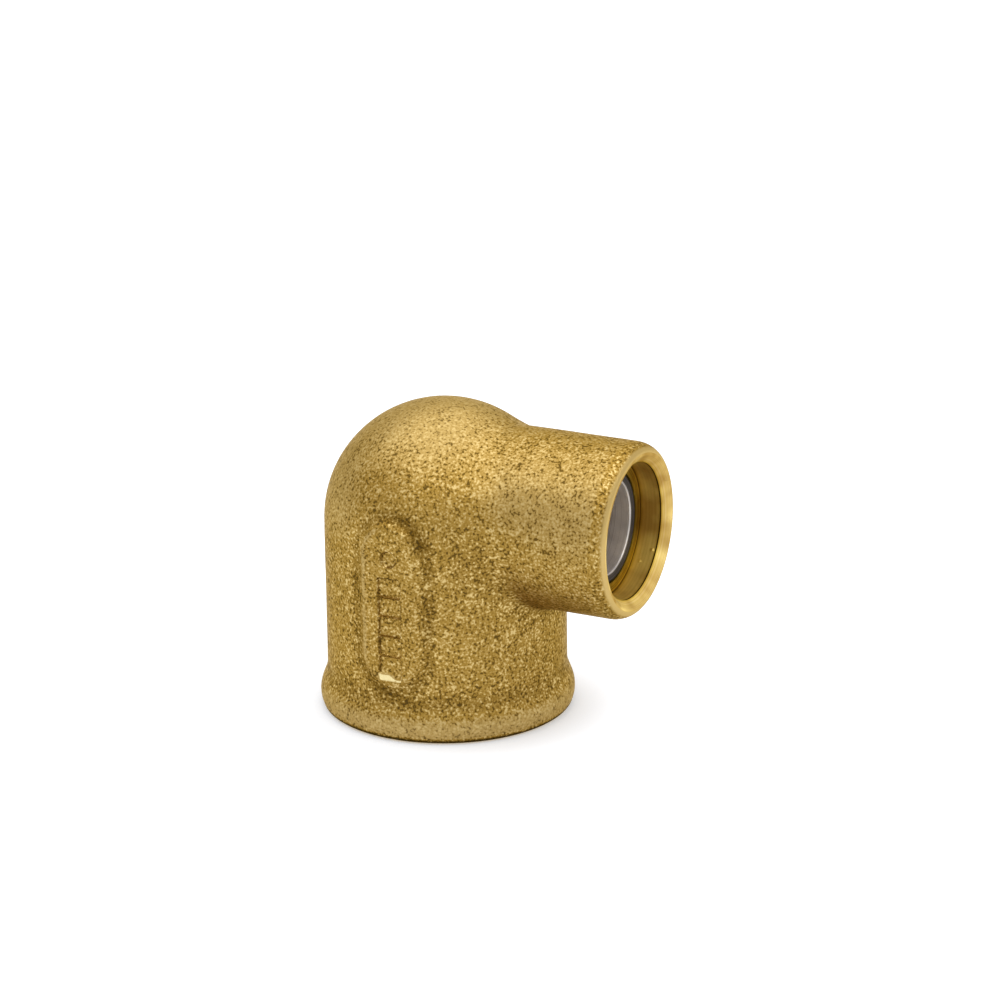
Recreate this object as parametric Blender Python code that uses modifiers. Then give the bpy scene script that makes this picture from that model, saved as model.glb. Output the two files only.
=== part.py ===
"""Elbow fitting: a forged brass body and the steel sleeve that is pressed into its side port.

The foot stands on the ground plane, +Z runs up the foot's axis and the side port points along +X.
Lengths are in metres. The world origin lies on the ground, in the middle of the fitting's outline.
"""

import math

import bmesh
import bpy
from mathutils import Matrix

MM = 0.001

# Foot socket: parallel pipe thread G 3/4
THREAD_MAJOR_DIAMETER = 26.441 * MM
THREAD_PITCH = 1.814 * MM
THREAD_LENGTH = 11.5 * MM
RELIEF_LENGTH = 2.4 * MM
RELIEF_MARGIN = 0.2 * MM
FOOT_CHAMFER = 0.6 * MM

# Barrel: walls outside the thread and outside the chamber, and the length up to the dome's centre
FOOT_WALL = 2.78 * MM
CHAMBER_WALL = 5.5 * MM
SHANK_LENGTH = 11.85 * MM
BEAD_PROUD = 1.0 * MM
BEAD_PEAK_HEIGHT = 1.95 * MM
BEAD_BLEND_LENGTH = 4.0 * MM
FOOT_EDGE_DROP = 0.55 * MM

# Side port: a plain socket for an 18 mm tube, with a shoulder that the tube stops on
SOCKET_DIAMETER = 18.1 * MM
SOCKET_DEPTH = 4.0 * MM
SHOULDER_WIDTH = 1.45 * MM
PORT_WALL = 2.65 * MM
PORT_LENGTH = 12.2 * MM
PORT_RAISE = 1.95 * MM
MOUTH_ROUND_DEPTH = 2.2 * MM
MOUTH_ROUND_WIDTH = 1.3 * MM
MOUTH_CHAMFER = 1.0 * MM

# Root of the side port: how far from the port its blend into the barrel starts. Above and beside the
# port it is a share of the room that the barrel leaves
ROOT_TOP_SHARE = 0.43
ROOT_SIDE_SHARE = 0.6
ROOT_BOTTOM_LENGTH = 1.3 * MM
ROOT_BURIAL = 1.0 * MM

# Steel sleeve
SLEEVE_WALL = 1.1 * MM
SLEEVE_LENGTH = 9.0 * MM
SLEEVE_LEAD_IN = 0.25 * MM
SLEEVE_LIP = 0.12 * MM

# Marking pad on the -Y side, with blank punched fields and a dimple
PAD_WIDTH = 8.0 * MM
PAD_LENGTH = 21.8 * MM
PAD_CLEARANCE = 1.75 * MM
PAD_PROUD = 0.4 * MM
FIELD_COUNT = 5
FIELD_WIDTH = 3.2 * MM
FIELD_HEIGHT = 2.5 * MM
FIELD_PITCH = 2.7 * MM
FIELD_MARGIN = 1.3 * MM
DIMPLE_DIAMETER = 2.1 * MM
DIMPLE_MARGIN = 4.5 * MM
MARK_DEPTH = 0.45 * MM

# Form of a Whitworth thread: depth and flat root as shares of the pitch, and half the flank angle
WHITWORTH_DEPTH = 0.6403
WHITWORTH_ROOT = 0.16
WHITWORTH_FLANK = math.radians(27.5)

# Clearance that touching pieces keep, how far a cutter runs past a face, and mesh density
FIT_GAP = 0.3 * MM
OVERCUT = 1.0 * MM
TURNED_STEPS = 48
THREAD_STEPS = 32
ARC_STEPS = 10
SMALL_ARC_STEPS = 4
ROOT_STEPS = 5

# Sizes that follow, across the foot's axis
THREAD_DEPTH = WHITWORTH_DEPTH * THREAD_PITCH
THREAD_MAJOR_RADIUS = THREAD_MAJOR_DIAMETER / 2
THREAD_MINOR_RADIUS = THREAD_MAJOR_RADIUS - THREAD_DEPTH
RELIEF_RADIUS = THREAD_MAJOR_RADIUS + RELIEF_MARGIN
BARREL_RADIUS = THREAD_MAJOR_RADIUS + FOOT_WALL
BEAD_RADIUS = BARREL_RADIUS + BEAD_PROUD
CHAMBER_RADIUS = BARREL_RADIUS - CHAMBER_WALL

# Heights that follow
RELIEF_TOP = THREAD_LENGTH + RELIEF_LENGTH
DOME_CENTRE_HEIGHT = RELIEF_TOP + SHANK_LENGTH
PORT_AXIS_HEIGHT = DOME_CENTRE_HEIGHT + PORT_RAISE
PAD_BOTTOM = BEAD_PEAK_HEIGHT + BEAD_BLEND_LENGTH + PAD_CLEARANCE
PAD_TOP = PAD_BOTTOM + PAD_LENGTH

# Sizes that follow, along and across the side port's axis
SOCKET_RADIUS = SOCKET_DIAMETER / 2
PORT_RADIUS = SOCKET_RADIUS + PORT_WALL
SEAT_RADIUS = SOCKET_RADIUS - SHOULDER_WIDTH
SLEEVE_RADIUS = SEAT_RADIUS - FIT_GAP
SLEEVE_BORE_RADIUS = SLEEVE_RADIUS - SLEEVE_WALL
PORT_REACH = BARREL_RADIUS + PORT_LENGTH
SHOULDER_X = PORT_REACH - SOCKET_DEPTH
SLEEVE_BACK_X = SHOULDER_X - SLEEVE_LENGTH
FOOT_AXIS_X = (BEAD_RADIUS - PORT_REACH) / 2
ROOT_SIDE_LENGTH = ROOT_SIDE_SHARE * (BARREL_RADIUS - PORT_RADIUS)
ROOT_TOP_LENGTH = ROOT_TOP_SHARE * (BARREL_RADIUS - PORT_RADIUS - PORT_RAISE)

BRASS_COLOUR = (0.42, 0.26, 0.07, 1.0)
BRASS_ROUGHNESS = 0.42
STEEL_COLOUR = (0.36, 0.35, 0.35, 1.0)
STEEL_ROUGHNESS = 0.3


def clear_scene():
    """Remove every object that the file opened with."""
    for obj in list(bpy.data.objects):
        bpy.data.objects.remove(obj, do_unlink=True)


def new_collection(name, helper=False):
    """Add a collection to the scene, left out of renders when it only holds helpers."""
    collection = bpy.data.collections.new(name)
    bpy.context.scene.collection.children.link(collection)
    collection.hide_render = helper
    return collection


def metal(name, colour, roughness):
    """A bare metal finish."""
    material = bpy.data.materials.new(name)
    material.use_nodes = True
    shader = material.node_tree.nodes["Principled BSDF"]
    shader.inputs["Base Color"].default_value = colour
    shader.inputs["Metallic"].default_value = 1.0
    shader.inputs["Roughness"].default_value = roughness
    material.diffuse_color = colour
    return material


def place(obj, collection):
    """Put an object in its collection, at the foot of the foot's axis. A helper shows as a wire."""
    for home in list(obj.users_collection):
        home.objects.unlink(obj)
    collection.objects.link(obj)
    obj.location = (FOOT_AXIS_X, 0.0, 0.0)
    if collection.hide_render:
        obj.hide_render = True
        obj.display_type = "WIRE"
    return obj


def arc(centre, radii, start, end, steps):
    """Points on an ellipse's arc, as (radius, height), from the start angle to the end angle."""
    points = []
    for step in range(steps + 1):
        angle = start + (end - start) * step / steps
        across = centre[0] + radii[0] * math.cos(angle)
        along = centre[1] + radii[1] * math.sin(angle)
        points.append((across, along))
    return points


def turned(name, profile, collection, steps=TURNED_STEPS, ring=False):
    """A turned solid round its own Z axis. The profile of (radius, height) runs down its outer side."""
    mesh = bpy.data.meshes.new(name)
    edges = [(index, index + 1) for index in range(len(profile) - 1)]
    if ring:
        edges.append((len(profile) - 1, 0))
    mesh.from_pydata([(radius, 0.0, height) for radius, height in profile], edges, [])
    obj = place(bpy.data.objects.new(name, mesh), collection)
    screw = obj.modifiers.new("Turn", "SCREW")
    screw.axis = "Z"
    screw.angle = 2 * math.pi
    screw.steps = steps
    screw.render_steps = steps
    screw.use_merge_vertices = True
    screw.merge_threshold = 0.001 * MM
    screw.use_smooth_shade = True
    return obj


def along_port(obj):
    """Lay a turned solid on the side port's axis, so that its heights run out from the foot's axis."""
    obj.rotation_euler = (0.0, math.pi / 2, 0.0)
    obj.location.z = PORT_AXIS_HEIGHT
    return obj


def combine(target, name, other, operation):
    """Join, cut or intersect a solid with another one."""
    boolean = target.modifiers.new(name, "BOOLEAN")
    boolean.operation = operation
    boolean.solver = "EXACT"
    boolean.object = other


def solid_copy(source, name, collection):
    """A mesh object of what a helper evaluates to, closed at its open ends. The helper is removed."""
    depsgraph = bpy.context.evaluated_depsgraph_get()
    mesh = bpy.data.meshes.new_from_object(source.evaluated_get(depsgraph))
    rotation = source.rotation_euler.copy()
    location = source.location.copy()
    bpy.data.objects.remove(source, do_unlink=True)
    cage = bmesh.new()
    cage.from_mesh(mesh)
    bmesh.ops.remove_doubles(cage, verts=cage.verts, dist=0.0001 * MM)
    open_edges = [edge for edge in cage.edges if edge.is_boundary]
    bmesh.ops.holes_fill(cage, edges=open_edges)
    bmesh.ops.recalc_face_normals(cage, faces=cage.faces)
    cage.to_mesh(mesh)
    cage.free()
    obj = place(bpy.data.objects.new(name, mesh), collection)
    obj.rotation_euler = rotation
    obj.location = location
    return obj


def bead_radius_at(height):
    """The foot's outer radius: it swells to the bead's peak, then eases back into the barrel."""
    if height < BEAD_PEAK_HEIGHT:
        share = (BEAD_PEAK_HEIGHT - height) / BEAD_PEAK_HEIGHT
        return BEAD_RADIUS - FOOT_EDGE_DROP * share**2
    share = (height - BEAD_PEAK_HEIGHT) / BEAD_BLEND_LENGTH
    return BARREL_RADIUS + BEAD_PROUD * (0.5 + 0.5 * math.cos(math.pi * share))


def barrel(collection):
    """The solid barrel: a dome on top, straight sides and the bead round its foot."""
    dome_centre = (0.0, DOME_CENTRE_HEIGHT)
    profile = arc(dome_centre, (BARREL_RADIUS, BARREL_RADIUS), math.pi / 2, 0.0, ARC_STEPS)
    for step in range(ARC_STEPS + 1):
        height = BEAD_PEAK_HEIGHT + BEAD_BLEND_LENGTH * (1 - step / ARC_STEPS)
        profile.append((bead_radius_at(height), height))
    for step in range(1, SMALL_ARC_STEPS + 1):
        height = BEAD_PEAK_HEIGHT * (1 - step / SMALL_ARC_STEPS)
        profile.append((bead_radius_at(height), height))
    profile.append((0.0, 0.0))
    return turned("elbow_body", profile, collection)


def port_barrel(helpers):
    """The solid side port, from the foot's axis to its rounded mouth."""
    land_radius = PORT_RADIUS - MOUTH_ROUND_WIDTH
    round_centre = (land_radius, PORT_REACH - MOUTH_ROUND_DEPTH)
    round_radii = (MOUTH_ROUND_WIDTH, MOUTH_ROUND_DEPTH)
    profile = [(0.0, PORT_REACH)]
    profile += arc(round_centre, round_radii, math.pi / 2, 0.0, SMALL_ARC_STEPS)
    profile += [(PORT_RADIUS, 0.0), (0.0, 0.0)]
    return along_port(turned("port_barrel", profile, helpers))


def barrel_reach(across, height):
    """How far the barrel's outside is from its axis along +X, at a distance across and a height."""
    over = max(height - DOME_CENTRE_HEIGHT, 0.0)
    return math.sqrt(BARREL_RADIUS**2 - across**2 - over**2)


def root_section(turn):
    """The blend's section in the half plane at one angle round the port's axis, as (radius, reach).

    A parabola leaves the barrel and meets the port, each along its own side. The section closes
    inside the metal of both.
    """
    side, up = math.cos(turn), math.sin(turn)
    upright = ROOT_TOP_LENGTH if up > 0 else ROOT_BOTTOM_LENGTH
    length = ROOT_SIDE_LENGTH * side**2 + upright * up**2
    start = PORT_RADIUS + length
    across, height = start * side, PORT_AXIS_HEIGHT + start * up
    first = barrel_reach(across, height)
    over = max(height - DOME_CENTRE_HEIGHT, 0.0)
    knee = first + length * (across * side + over * up) / first
    last = knee + length
    section = []
    for step in range(ROOT_STEPS + 1):
        share = step / ROOT_STEPS
        away = PORT_RADIUS + length * (1 - share) ** 2
        reach = (1 - share) ** 2 * first + 2 * share * (1 - share) * knee + share**2 * last
        section.append((away, reach))
    section.append((PORT_RADIUS - ROOT_BURIAL, last))
    section.append((PORT_RADIUS - ROOT_BURIAL, first - ROOT_BURIAL))
    section.append((start, first - ROOT_BURIAL))
    return section


def port_root(helpers):
    """The ring that blends the side port into the barrel."""
    cage = bmesh.new()
    rings = []
    for step in range(TURNED_STEPS):
        turn = 2 * math.pi * step / TURNED_STEPS
        side, up = math.cos(turn), math.sin(turn)
        points = [(reach, away * side, away * up) for away, reach in root_section(turn)]
        rings.append([cage.verts.new(point) for point in points])
    for ring, after in zip(rings, rings[1:] + rings[:1]):
        for index in range(len(ring)):
            cage.faces.new((ring[index - 1], ring[index], after[index], after[index - 1]))
    bmesh.ops.recalc_face_normals(cage, faces=cage.faces)
    mesh = bpy.data.meshes.new("port_root")
    cage.to_mesh(mesh)
    cage.free()
    root = place(bpy.data.objects.new("port_root", mesh), helpers)
    root.location.z = PORT_AXIS_HEIGHT
    return root


def foot_bore(helpers):
    """The cutter of the foot socket and of the chamber above it, which ends in a half ball."""
    chamfer_radius = THREAD_MAJOR_RADIUS + FOOT_CHAMFER
    chamfer_height = chamfer_radius - THREAD_MINOR_RADIUS
    ball_centre = (0.0, PORT_AXIS_HEIGHT)
    ball_radii = (CHAMBER_RADIUS, CHAMBER_RADIUS)
    profile = arc(ball_centre, ball_radii, math.pi / 2, 0.0, ARC_STEPS)
    profile += [
        (CHAMBER_RADIUS, RELIEF_TOP),
        (RELIEF_RADIUS, RELIEF_TOP),
        (RELIEF_RADIUS, THREAD_LENGTH),
        (THREAD_MINOR_RADIUS, THREAD_LENGTH),
        (THREAD_MINOR_RADIUS, chamfer_height),
        (chamfer_radius + OVERCUT, -OVERCUT),
        (0.0, -OVERCUT),
    ]
    return turned("foot_bore", profile, helpers)


def foot_thread(helpers):
    """The cutter of the foot's internal thread: a right-hand helix that ends in the relief groove."""
    half_root = WHITWORTH_ROOT * THREAD_PITCH / 2
    half_mouth = half_root + THREAD_DEPTH * math.tan(WHITWORTH_FLANK)
    inner = THREAD_MINOR_RADIUS - THREAD_DEPTH / 2
    end = THREAD_LENGTH + RELIEF_LENGTH / 2
    turns = math.ceil(end / THREAD_PITCH) + 1
    start = end - turns * THREAD_PITCH
    section = [
        (inner, half_mouth),
        (THREAD_MINOR_RADIUS, half_mouth),
        (THREAD_MAJOR_RADIUS, half_root),
        (THREAD_MAJOR_RADIUS, -half_root),
        (THREAD_MINOR_RADIUS, -half_mouth),
        (inner, -half_mouth),
    ]
    profile = [(radius, start + height) for radius, height in section]
    helix = turned("thread_helix", profile, helpers, steps=THREAD_STEPS, ring=True)
    helix.modifiers["Turn"].screw_offset = THREAD_PITCH
    helix.modifiers["Turn"].iterations = turns
    return solid_copy(helix, "foot_thread", helpers)


def port_bore(helpers):
    """The cutter of the side port: chamfered mouth, socket, sleeve seat and passage."""
    chamfer_end = PORT_REACH - MOUTH_CHAMFER
    mouth_radius = SOCKET_RADIUS + MOUTH_CHAMFER
    profile = [
        (0.0, PORT_REACH + OVERCUT),
        (mouth_radius + OVERCUT, PORT_REACH + OVERCUT),
        (SOCKET_RADIUS, chamfer_end),
        (SOCKET_RADIUS, SHOULDER_X),
        (SEAT_RADIUS, SHOULDER_X),
        (SEAT_RADIUS, SLEEVE_BACK_X - FIT_GAP),
        (SLEEVE_BORE_RADIUS, SLEEVE_BACK_X - FIT_GAP),
        (SLEEVE_BORE_RADIUS, 0.0),
        (0.0, 0.0),
    ]
    return along_port(turned("port_bore", profile, helpers))


def pad_plate(helpers):
    """The marking pad: an upright slot shape with a flat face, a little proud of the barrel."""
    half_width = PAD_WIDTH / 2
    half_depth = BARREL_RADIUS / 4
    curve = bpy.data.curves.new("pad_outline", "CURVE")
    curve.dimensions = "2D"
    curve.fill_mode = "BOTH"
    curve.extrude = half_depth
    top = arc((0.0, PAD_TOP - half_width), (half_width, half_width), 0.0, math.pi, ARC_STEPS)
    bottom_centre = (0.0, PAD_BOTTOM + half_width)
    bottom = arc(bottom_centre, (half_width, half_width), math.pi, 2 * math.pi, ARC_STEPS)
    outline = top + bottom
    spline = curve.splines.new("POLY")
    spline.points.add(len(outline) - 1)
    for point, (across, height) in zip(spline.points, outline):
        point.co = (across, height, 0.0, 1.0)
    spline.use_cyclic_u = True
    prism = place(bpy.data.objects.new("pad_prism", curve), helpers)
    prism.rotation_euler = (math.pi / 2, 0.0, 0.0)
    prism.location.y = half_depth - BARREL_RADIUS - PAD_PROUD
    bpy.context.view_layer.update()
    return solid_copy(prism, "pad_plate", helpers)


def pad_field(helpers, index):
    """The cutter of one blank punched field, counted from the lowest."""
    bpy.ops.mesh.primitive_cube_add(size=1.0)
    field = bpy.context.object
    field.name = f"pad_field_{index + 1}"
    field.data.transform(Matrix.Diagonal((FIELD_WIDTH, 2 * OVERCUT, FIELD_HEIGHT, 1.0)))
    place(field, helpers)
    field.location.z = PAD_BOTTOM + FIELD_MARGIN + FIELD_HEIGHT / 2 + FIELD_PITCH * index
    return field


def pad_dimple(helpers):
    """The cutter of the round dimple above the fields."""
    bpy.ops.mesh.primitive_cylinder_add(
        radius=DIMPLE_DIAMETER / 2, depth=2 * OVERCUT, vertices=THREAD_STEPS
    )
    dimple = place(bpy.context.object, helpers)
    dimple.name = "pad_dimple"
    dimple.rotation_euler = (math.pi / 2, 0.0, 0.0)
    dimple.location.z = PAD_TOP - DIMPLE_MARGIN
    return dimple


def pad_marks(helpers):
    """The cutters of every mark on the pad, down to their common depth."""
    marks = [pad_field(helpers, index) for index in range(FIELD_COUNT)]
    marks.append(pad_dimple(helpers))
    for mark in marks:
        mark.location.y = MARK_DEPTH - PAD_PROUD - BARREL_RADIUS - OVERCUT
    return marks


def elbow_body(parts, helpers):
    """The forged body: barrel, side port and pad in one piece, bored and threaded."""
    body = barrel(parts)
    combine(body, "Side port", port_barrel(helpers), "UNION")
    combine(body, "Marking pad", pad_plate(helpers), "UNION")
    combine(body, "Port root", port_root(helpers), "UNION")
    combine(body, "Foot bore", foot_bore(helpers), "DIFFERENCE")
    combine(body, "Port bore", port_bore(helpers), "DIFFERENCE")
    combine(body, "Foot thread", foot_thread(helpers), "DIFFERENCE")
    for mark in pad_marks(helpers):
        combine(body, mark.name, mark, "DIFFERENCE")
    body.data.materials.append(metal("forged_brass", BRASS_COLOUR, BRASS_ROUGHNESS))
    return body


def port_sleeve(parts):
    """The thin steel sleeve in the side port, with a lead-in cone at its front."""
    profile = [
        (SLEEVE_RADIUS - SLEEVE_LIP, SHOULDER_X),
        (SLEEVE_RADIUS, SHOULDER_X - SLEEVE_LIP),
        (SLEEVE_RADIUS, SLEEVE_BACK_X),
        (SLEEVE_BORE_RADIUS, SLEEVE_BACK_X),
        (SLEEVE_BORE_RADIUS, SHOULDER_X - SLEEVE_LEAD_IN),
    ]
    sleeve = along_port(turned("port_sleeve", profile, parts, ring=True))
    sleeve.data.materials.append(metal("turned_steel", STEEL_COLOUR, STEEL_ROUGHNESS))
    return sleeve


def main():
    """Build the elbow fitting."""
    clear_scene()
    parts = new_collection("elbow_fitting")
    helpers = new_collection("cutters", helper=True)
    elbow_body(parts, helpers)
    port_sleeve(parts)


if __name__ == "__main__":
    main()
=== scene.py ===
"""Visual model of an elbow fitting: a shot-blasted brass forging and the steel sleeve in its port.

Meshes are in metres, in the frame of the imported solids: the foot stands on the ground, +Z runs up
its axis, +X along the side port, and the marking pad is on the -Y side. Where a piece stands comes
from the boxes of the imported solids. Inside the classes, lengths run from the foot's own axis, and
a finished mesh is shifted along X once.
"""

import functools
import itertools
import logging
import math
from collections.abc import Callable
from dataclasses import dataclass, field, replace
from enum import Enum, IntEnum

import bpy
import numpy as np
from mathutils import Matrix, Vector


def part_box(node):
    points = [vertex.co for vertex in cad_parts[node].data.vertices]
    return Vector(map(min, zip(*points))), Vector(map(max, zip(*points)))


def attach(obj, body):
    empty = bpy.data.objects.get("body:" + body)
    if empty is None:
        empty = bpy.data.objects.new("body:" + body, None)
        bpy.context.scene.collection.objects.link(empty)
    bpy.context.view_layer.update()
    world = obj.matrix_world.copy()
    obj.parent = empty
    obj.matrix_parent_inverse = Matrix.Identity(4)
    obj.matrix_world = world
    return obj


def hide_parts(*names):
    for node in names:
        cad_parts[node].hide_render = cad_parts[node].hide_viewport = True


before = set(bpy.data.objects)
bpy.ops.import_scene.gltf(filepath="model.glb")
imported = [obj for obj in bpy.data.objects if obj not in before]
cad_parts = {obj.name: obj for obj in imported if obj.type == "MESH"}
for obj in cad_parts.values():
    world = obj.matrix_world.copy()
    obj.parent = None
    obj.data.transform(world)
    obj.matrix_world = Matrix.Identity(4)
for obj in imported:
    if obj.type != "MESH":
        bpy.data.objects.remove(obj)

Array = np.ndarray
Colour = tuple[float, float, float]
Point = tuple[float, float]
Socket = bpy.types.NodeSocket
Tint = Socket | Colour
Feeds = dict[int | str, Tint | float]

MM = 0.001
# a point's painted light and wear: above 0 wear and painted highlights, below 0 painted shade
LIGHT_AND_WEAR = "light_and_wear"
SKIN = "skin"
WHITE = (1.0, 1.0, 1.0)

log = logging.getLogger("elbow_fitting")


# ---- Shape helpers ----


def ease(values: Array, start: float, end: float) -> Array:
    """A soft step, 3tt - 2ttt, from 0 at start to 1 at end. The end may lie below the start."""
    share = np.clip((values - start) / (end - start), 0.0, 1.0)
    return share * share * (3.0 - 2.0 * share)


def hump(values: Array, centre: float, width: float) -> Array:
    """A bell of height 1: e to the minus square of the distance from the centre over the width."""
    return np.exp(-(((values - centre) / width) ** 2))


def shares(count: int) -> Array:
    """Equal steps from 0 to 1 as a column, the 0 left out."""
    return np.linspace(0.0, 1.0, count + 1)[1:, None]


def straight(start: Point, end: Point, count: int) -> Array:
    """Rows of points on a straight run, in equal steps, the start left out."""
    return np.array(start) + shares(count) * (np.array(end) - np.array(start))


def polyline(corners: list[Point], counts: tuple[int, ...]) -> Array:
    """Rows of points on straight runs from corner to corner, the first corner left out."""
    steps = zip(corners, corners[1:], counts)
    return np.concatenate([straight(start, end, count) for start, end, count in steps])


def elliptic(centre: Point, radii: Point, start: float, end: float, count: int) -> Array:
    """Points on an ellipse, centre plus half axes times cosine and sine, the first left out."""
    angles = np.linspace(start, end, count + 1)[1:]
    return np.array(centre) + np.array(radii) * np.column_stack([np.cos(angles), np.sin(angles)])


def lattice_noise(points: Array, cell: float, seed: int, side: int = 32) -> Array:
    """Smooth noise between -1 and 1. Each corner of a cubic lattice holds a seeded random number,
    and a point takes the mean of its eight corners, weighted by the eased nearness to each.

    Args:
        points: where the noise is read, one row each.
        cell: side of a lattice cube.
        seed: seed of the random numbers.
        side: cubes along each axis before the numbers repeat.

    Returns:
        One value for each point.
    """
    table = np.random.default_rng(seed).uniform(-1.0, 1.0, (side, side, side))
    scaled = points / cell
    base = np.floor(scaled).astype(np.int64)
    near = ease(scaled - base, 0.0, 1.0)
    total = np.zeros(len(points))
    for corner in itertools.product((0, 1), repeat=3):
        step = np.array(corner)
        index = (base + step) % side
        weight = np.where(step == 1, near, 1.0 - near).prod(axis=1)
        total += weight * table[tuple(index.T)]
    return total


def vertex_normals(points: Array, faces: Array) -> Array:
    """Unit normals: the sum of the cross products of the triangles round each point.

    Args:
        points: the points, one row each.
        faces: rows of three indices.

    Returns:
        One normal for each point.
    """
    corners = points[faces]
    crossed = np.cross(corners[:, 1] - corners[:, 0], corners[:, 2] - corners[:, 0])
    total = np.zeros_like(points)
    for corner, axis in itertools.product(range(3), repeat=2):
        total[:, axis] += np.bincount(faces[:, corner], crossed[:, axis], len(points))
    return total / np.maximum(np.linalg.norm(total, axis=1, keepdims=True), 1e-30)


def port_ring(turn: Array, away: Array | float, along: Array | float, axis: float) -> Array:
    """Points round the port's axis, by angle from +Y, distance from it, X and the axis's height."""
    turn, away, along = np.broadcast_arrays(turn, away, along)
    return np.stack([along, away * np.cos(turn), axis + away * np.sin(turn)], axis=-1)


class Finish(IntEnum):
    """Material slots of the forging."""

    BLASTED = 0
    PORT_TURNED = 1
    FOOT_TURNED = 2


@dataclass
class MeshDraft:
    """Points and faces of one closed surface, gathered band by band.

    Rings run anticlockwise when the band that follows lies towards the reader, so a face made of a
    ring's two neighbours and the next ring's two looks out of the metal.
    """

    points: list[Array] = field(default_factory=list)
    masks: list[Array] = field(default_factory=list)  # painted light and wear, and skin, of each point
    quads: list[tuple[Array, int]] = field(default_factory=list)  # faces, and their material slot
    triangles: list[tuple[Array, int]] = field(default_factory=list)
    count: int = 0

    def add(self, points: Array, light_and_wear: Array | float = 0.0, skin: Array | float = 0.0) -> Array:
        """Add a grid of points.

        Args:
            points: the points, the last axis being X, Y and Z.
            light_and_wear: above 0 wear and painted highlights, below 0 painted shade.
            skin: 1 where the forging's blasted skin is, 0 where it was machined off.

        Returns:
            The points' indices, in the same grid.
        """
        shape = points.shape[:-1]
        masks = [np.broadcast_to(mask, shape).ravel() for mask in (light_and_wear, skin)]
        self.points.append(points.reshape(-1, 3))
        self.masks.append(np.stack(masks, axis=-1))
        ids = self.count + np.arange(math.prod(shape)).reshape(shape)
        self.count += ids.size
        return ids

    def band(
        self, ring: Array, points: Array, slot: int, light_and_wear: Array | float, skin: Array | float = 0.0
    ) -> Array:
        """Add rings of points and join them to the ring before them.

        Args:
            ring: indices of the ring before.
            points: the new rings, one to a row.
            slot: material slot of the faces.
            light_and_wear: as in add.
            skin: as in add.

        Returns:
            Indices of the last ring.
        """
        ids = self.add(points, light_and_wear, skin)
        self.sheet(np.concatenate([ring[None], ids]), slot)
        return ids[-1]

    def placed(self, ids: Array) -> Array:
        """The points that indices stand for."""
        return np.concatenate(self.points)[ids]

    def sheet(self, rings: Array, slot: int, flip: bool = False, keep: Array | None = None) -> None:
        """Join rings with four-sided faces.

        Args:
            rings: indices, one closed ring to a row.
            slot: material slot of the faces.
            flip: turn the faces round.
            keep: True for each face that is wanted. Without it, all are.
        """
        lower, upper = rings[:-1], rings[1:]
        corners = [lower, np.roll(lower, -1, 1), np.roll(upper, -1, 1), upper]
        faces = np.stack(corners[::-1] if flip else corners, axis=-1)
        self.quads.append((faces.reshape(-1, 4) if keep is None else faces[keep], slot))

    def fans(self, sets: list[tuple[Array, Array, Array]], slot: int, flip: bool) -> None:
        """Add triangles, given as triples of index rows."""
        faces = np.concatenate([np.stack(corners, axis=-1) for corners in sets])
        self.triangles.append((faces[:, ::-1] if flip else faces, slot))

    def halve(self, fine: Array, coarse: Array, slot: int, flip: bool = False) -> None:
        """Join a ring to one of half as many points, with three triangles to a coarse step.

        Args:
            fine: indices of the ring with more points.
            coarse: indices of the other one.
            slot: material slot of the faces.
            flip: turn the faces round.
        """
        even, odd = fine[0::2], fine[1::2]
        after, beyond = np.roll(even, -1), np.roll(coarse, -1)
        self.fans([(even, odd, coarse), (odd, beyond, coarse), (odd, after, beyond)], slot, flip)

    def lid(self, ring: Array, height: float, slot: int, light_and_wear: float, flip: bool) -> None:
        """Close a ring onto a pole on the foot's axis, which has skin unless faces are turned."""
        pole = self.add(np.array([0.0, 0.0, height]), light_and_wear, float(not flip))
        self.fans([(ring, np.roll(ring, -1), np.full(len(ring), pole))], slot, flip)

    def finish(
        self,
        name: str,
        materials: list[bpy.types.Material],
        sharp: float,
        shift: float,
        forged: Callable[[Array, Array, Array], Array] | None = None,
    ) -> bpy.types.Object:
        """Make a smooth-shaded object, without the points that no face uses.

        Args:
            name: the object's name.
            materials: its materials, in slot order.
            sharp: the angle above which an edge stays crisp, in radians.
            shift: how far it moves along X at the end.
            forged: moves the points, given them, their skins and all faces as triangles.

        Returns:
            The object, in the scene.
        """
        quads = np.concatenate([faces for faces, _ in self.quads])
        few = np.concatenate([np.zeros((0, 3), np.int64), *(faces for faces, _ in self.triangles)])
        slots = [np.full(len(faces), slot, np.int32) for faces, slot in self.quads + self.triangles]
        used, place = np.unique(np.concatenate([quads.ravel(), few.ravel()]), return_inverse=True)
        quads, few = place[: quads.size].reshape(-1, 4), place[quads.size :].reshape(-1, 3)
        points = np.concatenate(self.points)[used]
        masks = np.concatenate(self.masks)[used]
        if forged:
            split = np.concatenate([quads[:, [0, 1, 2]], quads[:, [0, 2, 3]], few])
            points = forged(points, masks[:, 1], split)
        points = points + (shift, 0.0, 0.0)
        mesh = bpy.data.meshes.new(name)
        mesh.from_pydata(points.tolist(), [], quads.tolist() + few.tolist())
        mesh.polygons.foreach_set("material_index", np.concatenate(slots))
        mesh.polygons.foreach_set("use_smooth", np.ones(len(mesh.polygons), bool))
        for key, numbers in zip((LIGHT_AND_WEAR, SKIN), masks.T):
            if numbers.any():
                attribute = mesh.attributes.new(key, "FLOAT", "POINT")
                attribute.data.foreach_set("value", numbers.astype(np.float32))
        mesh.set_sharp_from_angle(angle=sharp)
        mesh.update()
        for material in materials:
            mesh.materials.append(material)
        return put(name, mesh)


def put(name: str, data: bpy.types.ID) -> bpy.types.Object:
    """Put an object into the scene.

    Args:
        name: its name.
        data: its mesh, lamp or camera.

    Returns:
        The object.
    """
    obj = bpy.data.objects.new(name, data)
    bpy.context.scene.collection.objects.link(obj)
    return obj


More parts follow.
